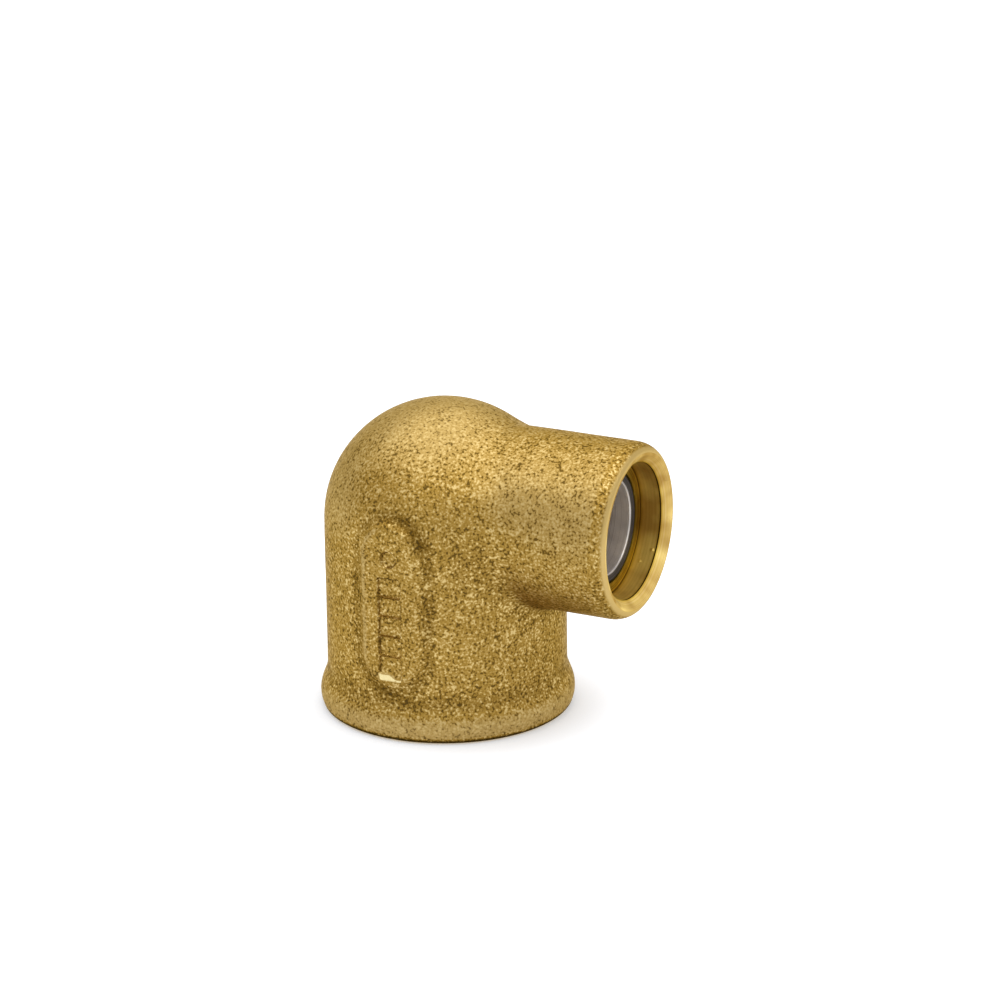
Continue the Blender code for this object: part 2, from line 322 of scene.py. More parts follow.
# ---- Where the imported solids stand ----


@dataclass(frozen=True)
class Datum:
    """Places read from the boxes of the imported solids, in metres."""

    foot_x: float  # the foot axis's place along X
    crown: float  # height of the dome's top
    bead_radius: float  # largest radius of the bead round the foot
    mouth_reach: float  # from the foot's axis to the port's mouth
    port_height: float  # height of the port's axis
    shoulder_reach: float  # from the foot's axis to the tube stop and the sleeve's front
    sleeve_back: float  # from the foot's axis to the sleeve's back end
    sleeve_radius: float  # the sleeve's outer radius

    @classmethod
    def from_solids(cls) -> "Datum":
        """Read the boxes of the body and of the sleeve.

        Returns:
            Their places.
        """
        low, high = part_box("elbow_body")
        inner_low, inner_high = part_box("port_sleeve")
        bead_radius = (high.y - low.y) / 2
        foot_x = low.x + bead_radius
        return cls(
            foot_x=foot_x,
            crown=high.z,
            bead_radius=bead_radius,
            mouth_reach=high.x - foot_x,
            port_height=(inner_low.z + inner_high.z) / 2,
            shoulder_reach=inner_high.x - foot_x,
            sleeve_back=inner_low.x - foot_x,
            sleeve_radius=(inner_high.z - inner_low.z) / 2,
        )


# ---- The forging ----


@dataclass(frozen=True)
class PunchedField:
    """One blank punched rectangle or dimple on the pad, as a soft box round a centre."""

    across: float  # half its width
    upward: float  # half its height
    height: float  # height of its centre
    corner: float  # radius of its corners

    def distance(self, x: Array, z: Array) -> Array:
        """Signed distance to a rounded box: that to the box shrunk by the corner's radius, less it.

        Args:
            x: places across the pad.
            z: heights.

        Returns:
            The distance, below 0 inside.
        """
        beyond_x = np.abs(x) - (self.across - self.corner)
        beyond_z = np.abs(z - self.height) - (self.upward - self.corner)
        outside = np.hypot(np.maximum(beyond_x, 0.0), np.maximum(beyond_z, 0.0))
        inside = np.minimum(np.maximum(beyond_x, beyond_z), 0.0)
        return outside + inside - self.corner


@dataclass(frozen=True)
class MarkingPad:
    """The flat slot-shaped pad on the barrel's -Y side, with a column of blank punched fields."""

    width: float = 8.0 * MM  # across the slot shape
    bottom: float = 7.7 * MM  # height of its lower end
    top: float = 29.5 * MM  # height of its upper end
    proud: float = 0.4 * MM  # from the barrel's nearest line to its face
    crest: float = 0.6 * MM  # over which its rim is rounded
    skirt: float = 1.4 * MM  # over which its foot runs out into the barrel
    hollow: float = 0.08 * MM  # depth of the valley that the die left round it
    depth: float = 0.45 * MM  # of the punched fields
    wall: float = 0.2 * MM  # over which a field's wall drops
    ramp: float = 0.8 * MM  # length of the slope under the lowest field
    field_count: int = 5
    field_width: float = 3.2 * MM
    field_height: float = 2.5 * MM
    field_pitch: float = 2.7 * MM
    field_margin: float = 1.3 * MM  # under the lowest field
    field_corner: float = 0.25 * MM
    dimple_radius: float = 1.05 * MM
    dimple_margin: float = 4.5 * MM  # over the dimple's centre
    edge_line: float = 0.14 * MM  # half width of the painted shadow line round a mark
    edge_shadow: tuple[float, ...] = (0.5, 0.45, 0.45, 0.95, 0.5, 0.6)  # lowest field to dimple
    column_line: float = 0.11 * MM  # half width of the painted shadow line round the whole column
    top_line: float = 0.2 * MM  # half width of the painted shadow line over the highest field
    struck_glint: float = 1.4  # how bright the slope under the lowest field is: struck metal with a painted highlight
    # painted shade in the valley round the pad
    valley_shade: float = 0.95
    shade: float = 0.6  # painted shade on the rim's upper right
    rim_highlight: Point = (-0.2 * MM, 0.5 * MM)  # where the rim's wear and painted highlight run, stronger towards -X, and half the line's width
    waves: tuple[float, ...] = (0.9 * MM, 2.3 * MM, 1.1 * MM)  # of the rim's unevenness
    breaks: Point = (0.47 * MM, 1.3 * MM)  # waves that break the column's line

    @property
    def marks(self) -> list[PunchedField]:
        """The fields, lowest first, and the round dimple above them."""
        across, upward, radius = self.field_width / 2, self.field_height / 2, self.dimple_radius
        first = self.bottom + self.field_margin + upward
        heights = [first + self.field_pitch * index for index in range(self.field_count)]
        fields = [PunchedField(across, upward, height, self.field_corner) for height in heights]
        return [*fields, PunchedField(radius, radius, self.top - self.dimple_margin, radius)]

    def outline(self, x: Array, z: Array) -> Array:
        """Signed distance to the slot shape: that to its middle line less half its width."""
        half = self.width / 2
        return np.hypot(x, z - np.clip(z, self.bottom + half, self.top - half)) - half

    def cover(self, distance: Array) -> Array:
        """1 on the pad's face, 0 on the barrel: a soft step over rim and skirt, partly squared."""
        step = ease(distance, self.skirt, -self.crest)
        return step * (0.35 + 0.65 * step)

    def punched(self, x: Array, z: Array) -> Array:
        """Depth of the marks: each mark's soft step down its wall, the deepest one counting, and
        under the lowest field a slope back up to the face.

        Args:
            x: places across the pad.
            z: heights.

        Returns:
            The depth.
        """
        sunk = self.slope(x, z)
        for mark in self.marks:
            sunk = np.maximum(sunk, ease(mark.distance(x, z), self.wall / 2, -self.wall / 2))
        return self.depth * sunk

    def slope(self, x: Array, z: Array) -> Array:
        """The slope under the lowest field, straight and as wide as the field.

        Args:
            x: places across the pad.
            z: heights.

        Returns:
            0 at its lower end, 1 at the field's floor.
        """
        lowest = self.marks[0]
        floor = lowest.height - lowest.upward
        climb = np.clip((z - floor + self.ramp) / self.ramp, 0.0, 1.0) * (z < floor + self.wall)
        return climb * ease(np.abs(x), lowest.across + self.wall / 2, lowest.across - self.wall)

    def bright_patch(self, points: Array) -> Array:
        """Where the punch left the metal bright and a highlight is painted, on the slope under the
        lowest
        field: most of its height on the left, narrowing to its foot on the right.

        Args:
            points: points of the pad.

        Returns:
            1 there, 0 elsewhere.
        """
        x, y, z = np.moveaxis(points, -1, 0)
        slope = self.slope(x, z)
        top = ease(slope + 0.65 * ease(x, -0.5 * MM, 1.0 * MM), 1.1, 0.85)
        return ease(slope, 0.0, 0.15) * top * (y < 0.0)

    def mark_shadows(self, x: Array, z: Array) -> Array:
        """Painted shadow along the marks' edges: bells round them, strong but broken along the
        column's left side, full along its top, less round each field and the dimple.

        Args:
            x: places across the pad.
            z: heights.

        Returns:
            The darkness, over 1 where it goes near black.
        """
        lowest, highest = self.marks[0], self.marks[-2]
        low, high = lowest.height - lowest.upward, highest.height + highest.upward
        column = PunchedField(lowest.across, (high - low) / 2, (high + low) / 2, self.field_corner)
        away = column.distance(x, z)
        quick, slow = (np.sin(z / wave) for wave in self.breaks)
        broken = 0.8 + 0.5 * quick * slow
        left = ease(x, 0.0, -lowest.across) * broken
        top = ease(z, high - 0.6 * MM, high - 0.1 * MM) * ease(x, 1.3 * MM, 0.6 * MM)
        mark_shadows = hump(away, -0.03 * MM, self.column_line) * (0.2 + 0.85 * left)
        mark_shadows = np.maximum(mark_shadows, 1.5 * top * hump(away, 0.0, self.top_line))
        for mark, weight in zip(self.marks, self.edge_shadow):
            upper = ease(z, mark.height - mark.upward, mark.height)
            line = hump(mark.distance(x, z), 0.0, self.edge_line)
            mark_shadows = np.maximum(mark_shadows, weight * line * (0.3 + 0.7 * upper))
        return mark_shadows

    def shape(self, points: Array, radius: float) -> tuple[Array, Array]:
        """The barrel's points with the pad raised from them, and their painted light and wear.

        Where the pad covers the barrel, a point's y goes to the pad's face by the cover's share of
        the way, less the punched depth. Round the skirt the barrel sinks a little.

        Args:
            points: points of the plain barrel, measured from the foot's axis.
            radius: the barrel's radius.

        Returns:
            The moved points and their painted light and wear.
        """
        x, y, z = np.moveaxis(points, -1, 0)
        front = y < -radius / 2
        distance = np.where(front, self.outline(x, z), radius)
        cover = self.cover(distance)
        valley = hump(distance, self.skirt * 0.8, self.skirt * 0.65) * front
        moved = points.copy()
        moved[..., 1] += cover * (-(radius + self.proud) - y) + self.punched(x, z) * cover * front
        moved[..., 1] += self.hollow * valley
        quick, slow, across = self.waves
        uneven = 0.75 + 0.25 * np.sin(z / quick) * np.sin(z / slow + x / across)
        # rim: wear and a painted highlight along the pad's rim, stronger towards -X
        rim = hump(distance, *self.rim_highlight) * (0.3 + 0.5 * ease(x, 0.0, -self.width / 2))
        # dark: painted shade in the valley round the pad and along the marks' edges
        dark = self.valley_shade * uneven * valley + self.mark_shadows(x, z) * cover
        # painted shade on the rim's upper right
        above = ease(z, self.top - 5 * MM, self.top - 2 * MM) * ease(x, -2.0 * MM, 1.0 * MM)
        dark = dark + self.shade * hump(distance, 0.3 * MM, 0.7 * MM) * above
        light_and_wear = rim * uneven + self.struck_glint * self.bright_patch(points) - dark
        return moved, np.where(front, light_and_wear, 0.0)


@dataclass(frozen=True)
class DomedWall:
    """A straight wall of revolution that a half ball closes on top, with a round branch towards +X.
    Places on it go by angle round the branch's axis and distance from it."""

    radius: float  # of the wall and of the ball
    centre: float  # height of the ball's centre
    axis: float  # height of the branch's axis

    def reach(self, turn: Array, away: Array | float) -> Array:
        """The wall's place along +X: the root of radius squared less y squared and over squared."""
        over = np.maximum(self.axis + away * np.sin(turn) - self.centre, 0.0)
        return np.sqrt(np.maximum(self.radius**2 - (away * np.cos(turn)) ** 2 - over**2, 0.0))

    def steepness(self, turn: Array, away: Array) -> Array:
        """How fast the reach grows with the distance: minus y times cosine plus height over the
        ball's centre times sine, over the reach itself.

        Args:
            turn: angles round the branch's axis.
            away: distances from it.

        Returns:
            Metres along X to a metre of distance.
        """
        y = away * np.cos(turn)
        over = np.maximum(self.axis + away * np.sin(turn) - self.centre, 0.0)
        return -(y * np.cos(turn) + over * np.sin(turn)) / self.reach(turn, away)

    def points(self, turn: Array, away: Array) -> Array:
        """Points of the wall."""
        return port_ring(turn, away, self.reach(turn, away), self.axis)


def window(grid: Array, first: int, last: int, wide: int) -> tuple[Array, Array]:
    """The cells of a wall that its branch takes the place of.

    Args:
        grid: indices of the wall's points.
        first: the lowest row of cells taken.
        last: the row over the highest.
        wide: how many columns of cells are taken, from column 0.

    Returns:
        True for each cell that stays, and indices of the window's edge: along its bottom, up the
        far side, back on top, down the near side.
    """
    keep = np.ones((len(grid) - 1, grid.shape[1]), bool)
    keep[first:last, :wide] = False
    out = [grid[first, :wide], grid[first:last, wide]]
    return keep, np.concatenate([*out, grid[last, wide:0:-1], grid[last:first:-1, 0]])


def foot_ring(turn: Array, away: Array | float, height: Array | float) -> Array:
    """Points round the foot's axis, by angle from +X, distance from the axis and height."""
    turn, away, height = np.broadcast_arrays(turn, away, height)
    return np.stack([away * np.cos(turn), away * np.sin(turn), height], axis=-1)


@dataclass
class ElbowBody:
    """The brass forging: barrel, dome, bead, pad and side port in one skin, bored and threaded.

    Its surface is one closed sheet. It starts at the dome's top, runs down the barrel, turns in
    under the foot, climbs the thread and closes in the chamber's half ball. The side port joins the
    outer and the inner wall through a window in each. Wear and painted highlights add to a point's
    light_and_wear, painted shade takes from it.
    """

    datum: Datum
    pad: MarkingPad = field(default_factory=MarkingPad)
    draft: MeshDraft = field(default_factory=MeshDraft)

    thread_major: float = 26.441 * MM / 2  # radius
    thread_pitch: float = 1.814 * MM
    thread_length: float = 11.5 * MM
    thread_depth_share: float = 0.6403  # of the pitch
    thread_root_share: float = 0.16  # of the pitch, flat at the root
    thread_half_angle: float = math.radians(27.5)
    relief_length: float = 2.4 * MM
    relief_margin: float = 0.2 * MM
    chamber_wall: float = 5.5 * MM
    foot_chamfer: float = 0.6 * MM
    foot_round: float = 0.5 * MM  # height of the foot's rounded edge
    foot_tuck: float = 0.9 * MM  # width of that edge
    foot_drop: float = 0.55 * MM  # how far the radius falls under the bead's peak
    bead_proud: float = 1.0 * MM
    bead_peak: float = 1.95 * MM
    bead_blend: float = 4.0 * MM  # height over which the bead runs out

    socket_radius: float = 9.05 * MM
    port_wall: float = 2.65 * MM
    shoulder_width: float = 1.45 * MM
    seat_length: float = 3.0 * MM  # of the seat's first stretch
    mouth_round_depth: float = 2.2 * MM
    mouth_round_width: float = 1.3 * MM
    mouth_chamfer: float = 1.0 * MM
    lip_round: float = 0.3 * MM
    fit_gap: float = 0.3 * MM
    sleeve_wall: float = 1.1 * MM
    root_side: float = 2.58 * MM  # size of the port's root at its sides
    root_under: float = 1.3 * MM
    root_over: float = 1.0 * MM

    swell: float = 0.035 * MM  # depth of the skin's slow unevenness
    swell_cell: float = 5.2 * MM
    swell_seed: int = 11
    ripple: float = 0.02 * MM  # depth of its quick unevenness
    ripple_cell: float = 1.5 * MM
    ripple_seed: int = 29
    # painted highlights with wear on the dome's top, the port's flank and the dome's back
    crown_sheen_and_wear: float = 0.46
    crown_fade: Point = (3.0 * MM, 15.0 * MM)  # along X, where the crown's painted highlight and wear grow less
    flank_sheen_and_wear: float = 0.36
    flank_turn: float = math.radians(65.0)  # from the port's top to the middle of its lit and worn flank
    flank_spread: float = math.radians(42.0)
    flank_start: Point = (6.0 * MM, 15.0 * MM)  # along X, where it sets in
    back_sheen_and_wear: float = 0.4
    back_start: Point = (0.1, 0.6)  # of the barrel's radius, where it sets in
    # painted highlight with wear on the bead's crest
    bead_sheen_and_wear: float = 0.52
    bead_line: float = 2.2 * MM  # half width of its wear and painted highlight
    # painted shade in the hollow neck over the bead
    neck_shade: float = 0.55
    neck_line: float = 1.5 * MM
    neck_share: float = 0.85  # where it is, of the way up the bead's blend
    # painted contact shadow along the foot's lower edge, going near black
    foot_shadow: float = 2.2
    foot_dark: Point = (0.75 * MM, 0.4 * MM)  # heights over which it sets in
    foot_skin: float = 0.35 * MM  # height up to which the skin was machined off
    # painted shade under and beside the port's root
    root_shade: float = 0.3
    root_deep: float = 0.15  # more of it in the middle of the blend
    root_spread: float = 2.2 * MM  # how far it runs onto the wall
    lip_wear: float = 0.35
    lip_start: Point = (1.0 * MM, 0.3 * MM)  # depths under the mouth over which it sets in
    # painted shade line round the mouth's rounding
    lip_shade: float = 0.5
    lip_line: Point = (1.0 * MM, 0.7 * MM)  # depth of the lip's painted shade line, and half its width
    lip_skin: Point = (0.05 * MM, 0.55 * MM)  # depths over which the skin sets in
    mouth_wear: float = 0.38
    # painted shade in the bore, and deep painted shade at the chamfer's inner edge and the shoulder
    socket_shade: float = 0.15
    chamfer_shade: float = 2.2
    shoulder_shade: float = 1.1
    # painted shade inside the chamber, the thread and the passage
    inner_shade: float = 0.2
    passage_shade: float = 0.3

    window_half_angle: float = math.radians(62.0)
    window_bottom: float = 11.5 * MM
    window_top: float = math.radians(72.0)  # up the dome
    pole_edge: float = math.radians(88.6)  # up the dome, where its lid starts
    inner_low: float = 0.81  # of the chamber's radius, from its ball's centre to the window
    inner_top: float = math.radians(55.0)  # up the chamber's ball
    inner_pole: float = math.radians(86.0)
    inner_soft: float = 0.3 * MM  # edge between the relief and the chamber
    marks_top: float = 22.9 * MM
    pad_half_angle: float = math.radians(16.0)
    crisp: float = math.radians(40.0)  # the angle above which an edge stays crisp
    window_cells: int = 70  # columns of faces that the window takes
    window_rows: int = 170  # and rows of them
    other_columns: tuple[int, ...] = (100, 60, 10)  # the back's, the pad's, and the few after it
    bead_rows: tuple[int, ...] = (18, 30)  # under the pad's lower end, and over it
    barrel_rows: tuple[int, ...] = (96, 20)  # beside the marks, and over them
    dome_rows: tuple[int, ...] = (20, 34, 12)  # beside the pad's end, over it, round the pole
    fan_rows: int = 14  # inside the window
    blend_rows: int = 10
    mouth_rows: int = 9  # of the mouth's rounding
    shell_rows: int = 24  # of the port's straight wall
    socket_rows: tuple[int, ...] = (5, 36, 5, 4)  # chamfer, bore, shoulder, seat
    thread_rows: int = 88

    @property
    def barrel_radius(self) -> float:
        """Radius of the straight barrel and of the dome."""
        return self.datum.bead_radius - self.bead_proud

    @property
    def dome_centre(self) -> float:
        """Height of the dome's centre."""
        return self.datum.crown - self.barrel_radius

    @property
    def port_radius(self) -> float:
        """Outer radius of the side port."""
        return self.socket_radius + self.port_wall

    @property
    def chamber(self) -> DomedWall:
        """The chamber's wall, whose ball sits at the port's height."""
        axis = self.datum.port_height
        return DomedWall(self.barrel_radius - self.chamber_wall, axis, axis)

    def outer_angles(self) -> Array:
        """Angles of the barrel's columns.

        Returns:
            The window's, the back's, the pad's close ones, and the few from there to the window.
        """
        window, half, front = self.window_half_angle, self.pad_half_angle, 1.5 * math.pi
        edges = (-window, window, front - half, front + half, 2 * math.pi - window)
        runs = zip(edges, edges[1:], (self.window_cells, *self.other_columns))
        return np.concatenate([np.linspace(*run, endpoint=False) for run in runs])

    def bead_radius_at(self, height: Array) -> Array:
        """The foot's outer radius: under the bead's peak it falls by the square of the share of the
        way down, above it half a cosine wave eases it into the barrel.

        Args:
            height: heights over the ground.

        Returns:
            The radius at each.
        """
        below = np.clip((self.bead_peak - height) / self.bead_peak, 0.0, 1.0)
        above = np.clip((height - self.bead_peak) / self.bead_blend, 0.0, 1.0)
        swollen = self.bead_proud * (0.5 + 0.5 * np.cos(math.pi * above))
        return self.barrel_radius + swollen - self.foot_drop * below**2

    def round_port(self, points: Array) -> tuple[Array, Array]:
        """A loop's angles round the port's axis, without jumps, and its distances from it."""
        y, z = points[:, 1], points[:, 2] - self.datum.port_height
        return np.unwrap(np.arctan2(z, y)), np.hypot(y, z)

    def rubbed_and_lit(self, points: Array) -> Array:
        """Painted highlight with wear: on the top of the dome, by height and less along the port,
        on the port's upper flank at the front, and on the dome's back.

        Args:
            points: points of the skin.

        Returns:
            What is added to each one's light_and_wear.
        """
        x, y, z = np.moveaxis(points, -1, 0)
        axis, radius, crown = self.datum.port_height, self.barrel_radius, self.datum.crown
        less = 1.0 - 0.75 * ease(x, *self.crown_fade)
        top = self.crown_sheen_and_wear * less * ease(z, self.dome_centre + radius / 3, crown - 1.0 * MM)
        back = ease(-x / radius, *self.back_start) * ease(z, axis - 6.0 * MM, axis + 2.0 * MM)
        flank = hump(np.arctan2(-y, z - axis), self.flank_turn, self.flank_spread)
        flank = flank * ease(x, *self.flank_start)
        return np.maximum(top, self.back_sheen_and_wear * back) + self.flank_sheen_and_wear * flank

    @staticmethod
    def shaded(turn: Array) -> Array:
        """How much of the root's painted shade is there, by the angle round the port: none on top.
        """
        return ease(np.sin(turn), 0.5, -0.3)

    def outer_profile(self) -> tuple[Array, int]:
        """The outer wall's section: rounded edge, bead, straight barrel and the dome's arcs.

        Returns:
            (radius, height) from the foot's face up to just under the dome's pole, and the row at
            which the window starts.
        """
        radius, centre, soft = self.barrel_radius, self.dome_centre, self.foot_round
        tuck = float(self.bead_radius_at(np.array(soft))) - self.foot_tuck
        rounding = elliptic((tuck, soft), (self.foot_tuck, soft), -math.pi / 2, 0.0, 7)
        under_pad = self.pad.bottom - 0.4 * MM
        levels = (soft, under_pad, self.window_bottom)
        heights = polyline([(radius, level) for level in levels], self.bead_rows)[:, 1]
        bead = np.column_stack([self.bead_radius_at(heights), heights])
        levels = (self.window_bottom, self.marks_top, centre)
        barrel = polyline([(radius, level) for level in levels], self.barrel_rows)
        rise = math.asin((self.pad.top + 0.5 * MM - centre) / radius)
        turns = (0.0, rise, self.window_top, self.pole_edge)
        arcs = zip(turns, turns[1:], self.dome_rows)
        dome = [elliptic((0.0, centre), (radius, radius), *arc) for arc in arcs]
        low = np.concatenate([[[tuck, 0.0]], rounding, bead])
        return np.concatenate([low, barrel, *dome]), len(low) - 1

    def outer_wall(self) -> tuple[Array, Array]:
        """Barrel, dome, bead and pad.

        Returns:
            The ring round the foot's face, and the loop round the port's window.
        """
        profile, first_row = self.outer_profile()
        plain = foot_ring(self.outer_angles(), profile[:, :1], profile[:, 1:])
        grid, light_and_wear = self.pad.shape(plain, self.barrel_radius)
        level = plain[..., 2]
        # crest: painted highlight with wear on the bead
        crest = self.bead_sheen_and_wear * hump(level, self.bead_peak, self.bead_line)
        middle = self.bead_peak + self.neck_share * self.bead_blend
        # neck: painted shade in the hollow over the bead
        neck = self.neck_shade * hump(level, middle, self.neck_line)
        # rim: the painted contact shadow along the foot's lower edge
        rim = self.foot_shadow * ease(level, *self.foot_dark)
        skin = ease(level, 0.0, self.foot_skin) - self.pad.bright_patch(grid)
        ids = self.draft.add(grid, light_and_wear + crest + self.rubbed_and_lit(grid) - neck - rim, skin)
        keep, edge = window(ids, first_row, first_row + self.window_rows, self.window_cells)
        self.draft.sheet(ids, Finish.BLASTED, keep=keep)
        # the pole takes the crown's painted highlight and wear
        self.draft.lid(ids[-1], self.datum.crown, Finish.BLASTED, self.crown_sheen_and_wear, flip=False)
        return ids[0], edge

    def root(self, loop: Array) -> tuple[Array, Array, Array]:
        """The wall inside the window and the blend from it into the port.

        In each half plane through the port's axis, the wall runs in to the blend's start. The blend
        is a parabola: its first point is on the wall, its last on the port, and its middle one is
        where the tangents of both meet.

        Args:
            loop: indices of the window's edge.

        Returns:
            The ring at which the port's straight wall starts, its angles and its reach along X.
        """
        wall = DomedWall(self.barrel_radius, self.dome_centre, self.datum.port_height)
        turn, away = self.round_port(self.draft.placed(loop))
        side = np.cos(turn) ** 2
        upright = np.where(np.sin(turn) > 0.0, self.root_over, self.root_under)
        setback = self.root_side * side + upright * (1.0 - side)
        start = self.port_radius + setback
        share, low = shares(self.fan_rows), self.shaded(turn)
        distance = away + share * (start - away)
        fan = wall.points(turn, distance)
        # near and dark: painted shade under and beside the port's root, none on top
        near = low * ease(distance - start, self.root_spread, 0.0) * ease(share, 0.0, 0.5)
        light_and_wear = self.rubbed_and_lit(fan) - self.root_shade * near
        ring = self.draft.band(loop, fan, Finish.BLASTED, light_and_wear, 1.0)
        first = wall.reach(turn, start)
        knee = first + wall.steepness(turn, start) * (self.port_radius - start)
        last = knee + setback
        bend = shares(self.blend_rows)
        x = (1 - bend) ** 2 * first + 2 * bend * (1 - bend) * knee + bend**2 * last
        out = (1 - bend) ** 2 * start + (1 - (1 - bend) ** 2) * self.port_radius
        blend = port_ring(turn, out, x, self.datum.port_height)
        dark = low * (self.root_shade + self.root_deep * np.sin(math.pi * bend))
        ring = self.draft.band(ring, blend, Finish.BLASTED, self.rubbed_and_lit(blend) - dark, 1.0)
        return ring, turn, last

    def port(self, ring: Array, turn: Array, reach: Array) -> tuple[Array, Array]:
        """The port's outer wall and its rounded mouth. The rings' angles go from those of the
        window's edge to equal steps at the mouth.

        Args:
            ring: the ring at the end of the root's blend.
            turn: its angles.
            reach: its distances along X.

        Returns:
            The ring at the mouth, and its angles.
        """
        axis, mouth, depth = self.datum.port_height, self.datum.mouth_reach, self.mouth_round_depth
        turn, reach, share = turn[::2], reach[::2], shares(self.shell_rows)
        even = turn[0] + np.linspace(0.0, 2 * math.pi, len(turn), endpoint=False)
        angles = turn + share * (even - turn)
        shell = port_ring(angles, self.port_radius, reach + share * (mouth - depth - reach), axis)
        # fade: the root's painted shade running out along the port
        fade = self.root_shade * self.shaded(angles) * (1.0 - share) ** 3
        ids = self.draft.add(shell, self.rubbed_and_lit(shell) - fade, 1.0)
        self.draft.halve(ring, ids[0], Finish.BLASTED)
        self.draft.sheet(ids, Finish.BLASTED)
        centre = (self.port_radius - self.mouth_round_width, mouth - depth)
        radii = (self.mouth_round_width, depth)
        rounding = elliptic(centre, radii, 0.0, math.pi / 2, self.mouth_rows)
        lip = port_ring(even, rounding[:, :1], rounding[:, 1:], axis)
        sunk = mouth - rounding[:, 1:]
        turned = self.lip_wear * ease(sunk, *self.lip_start)
        # a painted shade line round the lip
        turned = turned - self.lip_shade * hump(sunk, *self.lip_line)
        light_and_wear, skin = turned + self.rubbed_and_lit(lip), ease(sunk, *self.lip_skin)
        return self.draft.band(ids[-1], lip, Finish.BLASTED, light_and_wear, skin), even

    def socket_path(self) -> Array:
        """The socket's section: the mouth's land, its soft lip and chamfer, the bore, the shoulder
        and the start of the sleeve's seat.

        Returns:
            (radius, distance along X) in that order.
        """
        mouth, stop = self.datum.mouth_reach, self.datum.shoulder_reach
        bore, soft = self.socket_radius, self.lip_round
        seat, inner = bore - self.shoulder_width, bore + self.mouth_chamfer
        slant = math.sqrt(0.5)
        corners = [
            (inner + soft * (0.5 - slant), mouth - soft * (1.0 - slant)),
            (bore, mouth - self.mouth_chamfer),
            (bore, stop),
            (seat, stop),
            (seat, stop - self.seat_length),
        ]
        land = (self.port_radius - self.mouth_round_width, mouth)
        flat = straight(land, (inner + soft / 2, mouth), 2)
        centre = (inner + soft / 2, mouth - soft)
        lip = elliptic(centre, (soft, soft), math.pi / 2, math.pi * 0.75, 5)
        return np.concatenate([flat, lip, polyline(corners, self.socket_rows)])

    def socket(self, ring: Array, turn: Array) -> Array:
        """The socket, its shoulder and the sleeve's seat.

        Args:
            ring: the ring at the mouth.
            turn: its angles.

        Returns:
            The last ring, in the sleeve's seat.
        """
        path = self.socket_path()
        away, sunk = path[:, :1], self.datum.mouth_reach - path[:, 1:]
        stop = self.datum.mouth_reach - self.datum.shoulder_reach
        # painted shade: a line at the chamfer's inner edge, the bore darker past it, near black at
        # the shoulder and in the seat
        line = hump(sunk, self.mouth_chamfer + 0.1 * MM, 0.15 * MM)
        corner = hump(sunk, stop, 0.3 * MM) * (away > self.socket_radius - 0.3 * MM)
        corner = np.where(away < self.socket_radius - 0.1 * MM, 1.0, corner)
        inside = ease(sunk, self.mouth_chamfer, self.mouth_chamfer + 0.3 * MM)
        dark = (self.socket_shade + self.shoulder_shade * corner) * inside
        light_and_wear = self.mouth_wear * (1.0 - inside) - dark - self.chamfer_shade * line
        rings = port_ring(turn, away, path[:, 1:], self.datum.port_height)
        return self.draft.band(ring, rings, Finish.PORT_TURNED, light_and_wear)

    def inner_profile(self) -> tuple[Array, int, int]:
        """The inner wall's section: the thread's cone, its relief, the chamber and its arcs.

        Returns:
            (radius, height) from the foot's face up to just under the chamber's pole, the row at
            which the inner window starts, and how many rows it takes.
        """
        major, chamber, ball = self.thread_major, self.chamber.radius, self.chamber.centre
        minor = major - self.thread_depth_share * self.thread_pitch
        groove, soft = major + self.relief_margin, self.inner_soft
        rows = (self.window_rows - self.window_cells) // 4
        end = self.thread_length
        thread = straight((major + self.foot_chamfer, 0.0), (minor, end), self.thread_rows)
        top = end + self.relief_length
        relief = straight((groove, end), (groove, top), 6)
        start = (chamber, ball - self.inner_low * chamber)
        corners = [(chamber + soft, top), (chamber, top + soft), start]
        low = np.concatenate([thread, relief, corners[:1], polyline(corners, (1, 5))])
        wall = straight(start, (chamber, ball), rows // 2)
        turns = (0.0, self.inner_top, self.inner_pole)
        arcs = zip(turns, turns[1:], (rows - rows // 2, 7))
        dome = [elliptic((0.0, ball), (chamber, chamber), *arc) for arc in arcs]
        return np.concatenate([low, wall, *dome]), len(low) - 1, rows

    def threaded(self, radius: Array, height: Array, angles: Array) -> Array:
        """The foot's wall with its thread cut in: the wider of the chamfer's cone and the thread.

        The thread's phase is the height less the last turn's, over the pitch, less the share of a
        turn. Its groove is full in the root's flat and falls along a flank to the crest.

        Args:
            radius: the wall's radius by row.
            height: its height by row.
            angles: the columns' angles.

        Returns:
            The radius at each row and column.
        """
        pitch = self.thread_pitch
        depth = self.thread_depth_share * pitch
        end = self.thread_length + self.relief_length / 2
        phase = (height - end) / pitch - angles / (2 * math.pi)
        offset = np.abs(phase - np.round(phase)) * pitch
        flat = self.thread_root_share * pitch / 2
        groove = ease(offset, flat + depth * math.tan(self.thread_half_angle), flat)
        cone = self.thread_major + self.foot_chamfer - height
        cut = np.maximum(cone, self.thread_major - depth + depth * groove)
        return np.where(height <= self.thread_length, cut, radius)

    def inside(self, foot: Array) -> Array:
        """The foot's face, its thread and the chamber.

        Args:
            foot: the outer ring of the foot's face.

        Returns:
            The loop round the chamber's window.
        """
        draft, angles, slot = self.draft, self.outer_angles()[::2], Finish.FOOT_TURNED
        profile, first_row, rows = self.inner_profile()
        radius = self.threaded(profile[:, :1], profile[:, 1:], angles[None])
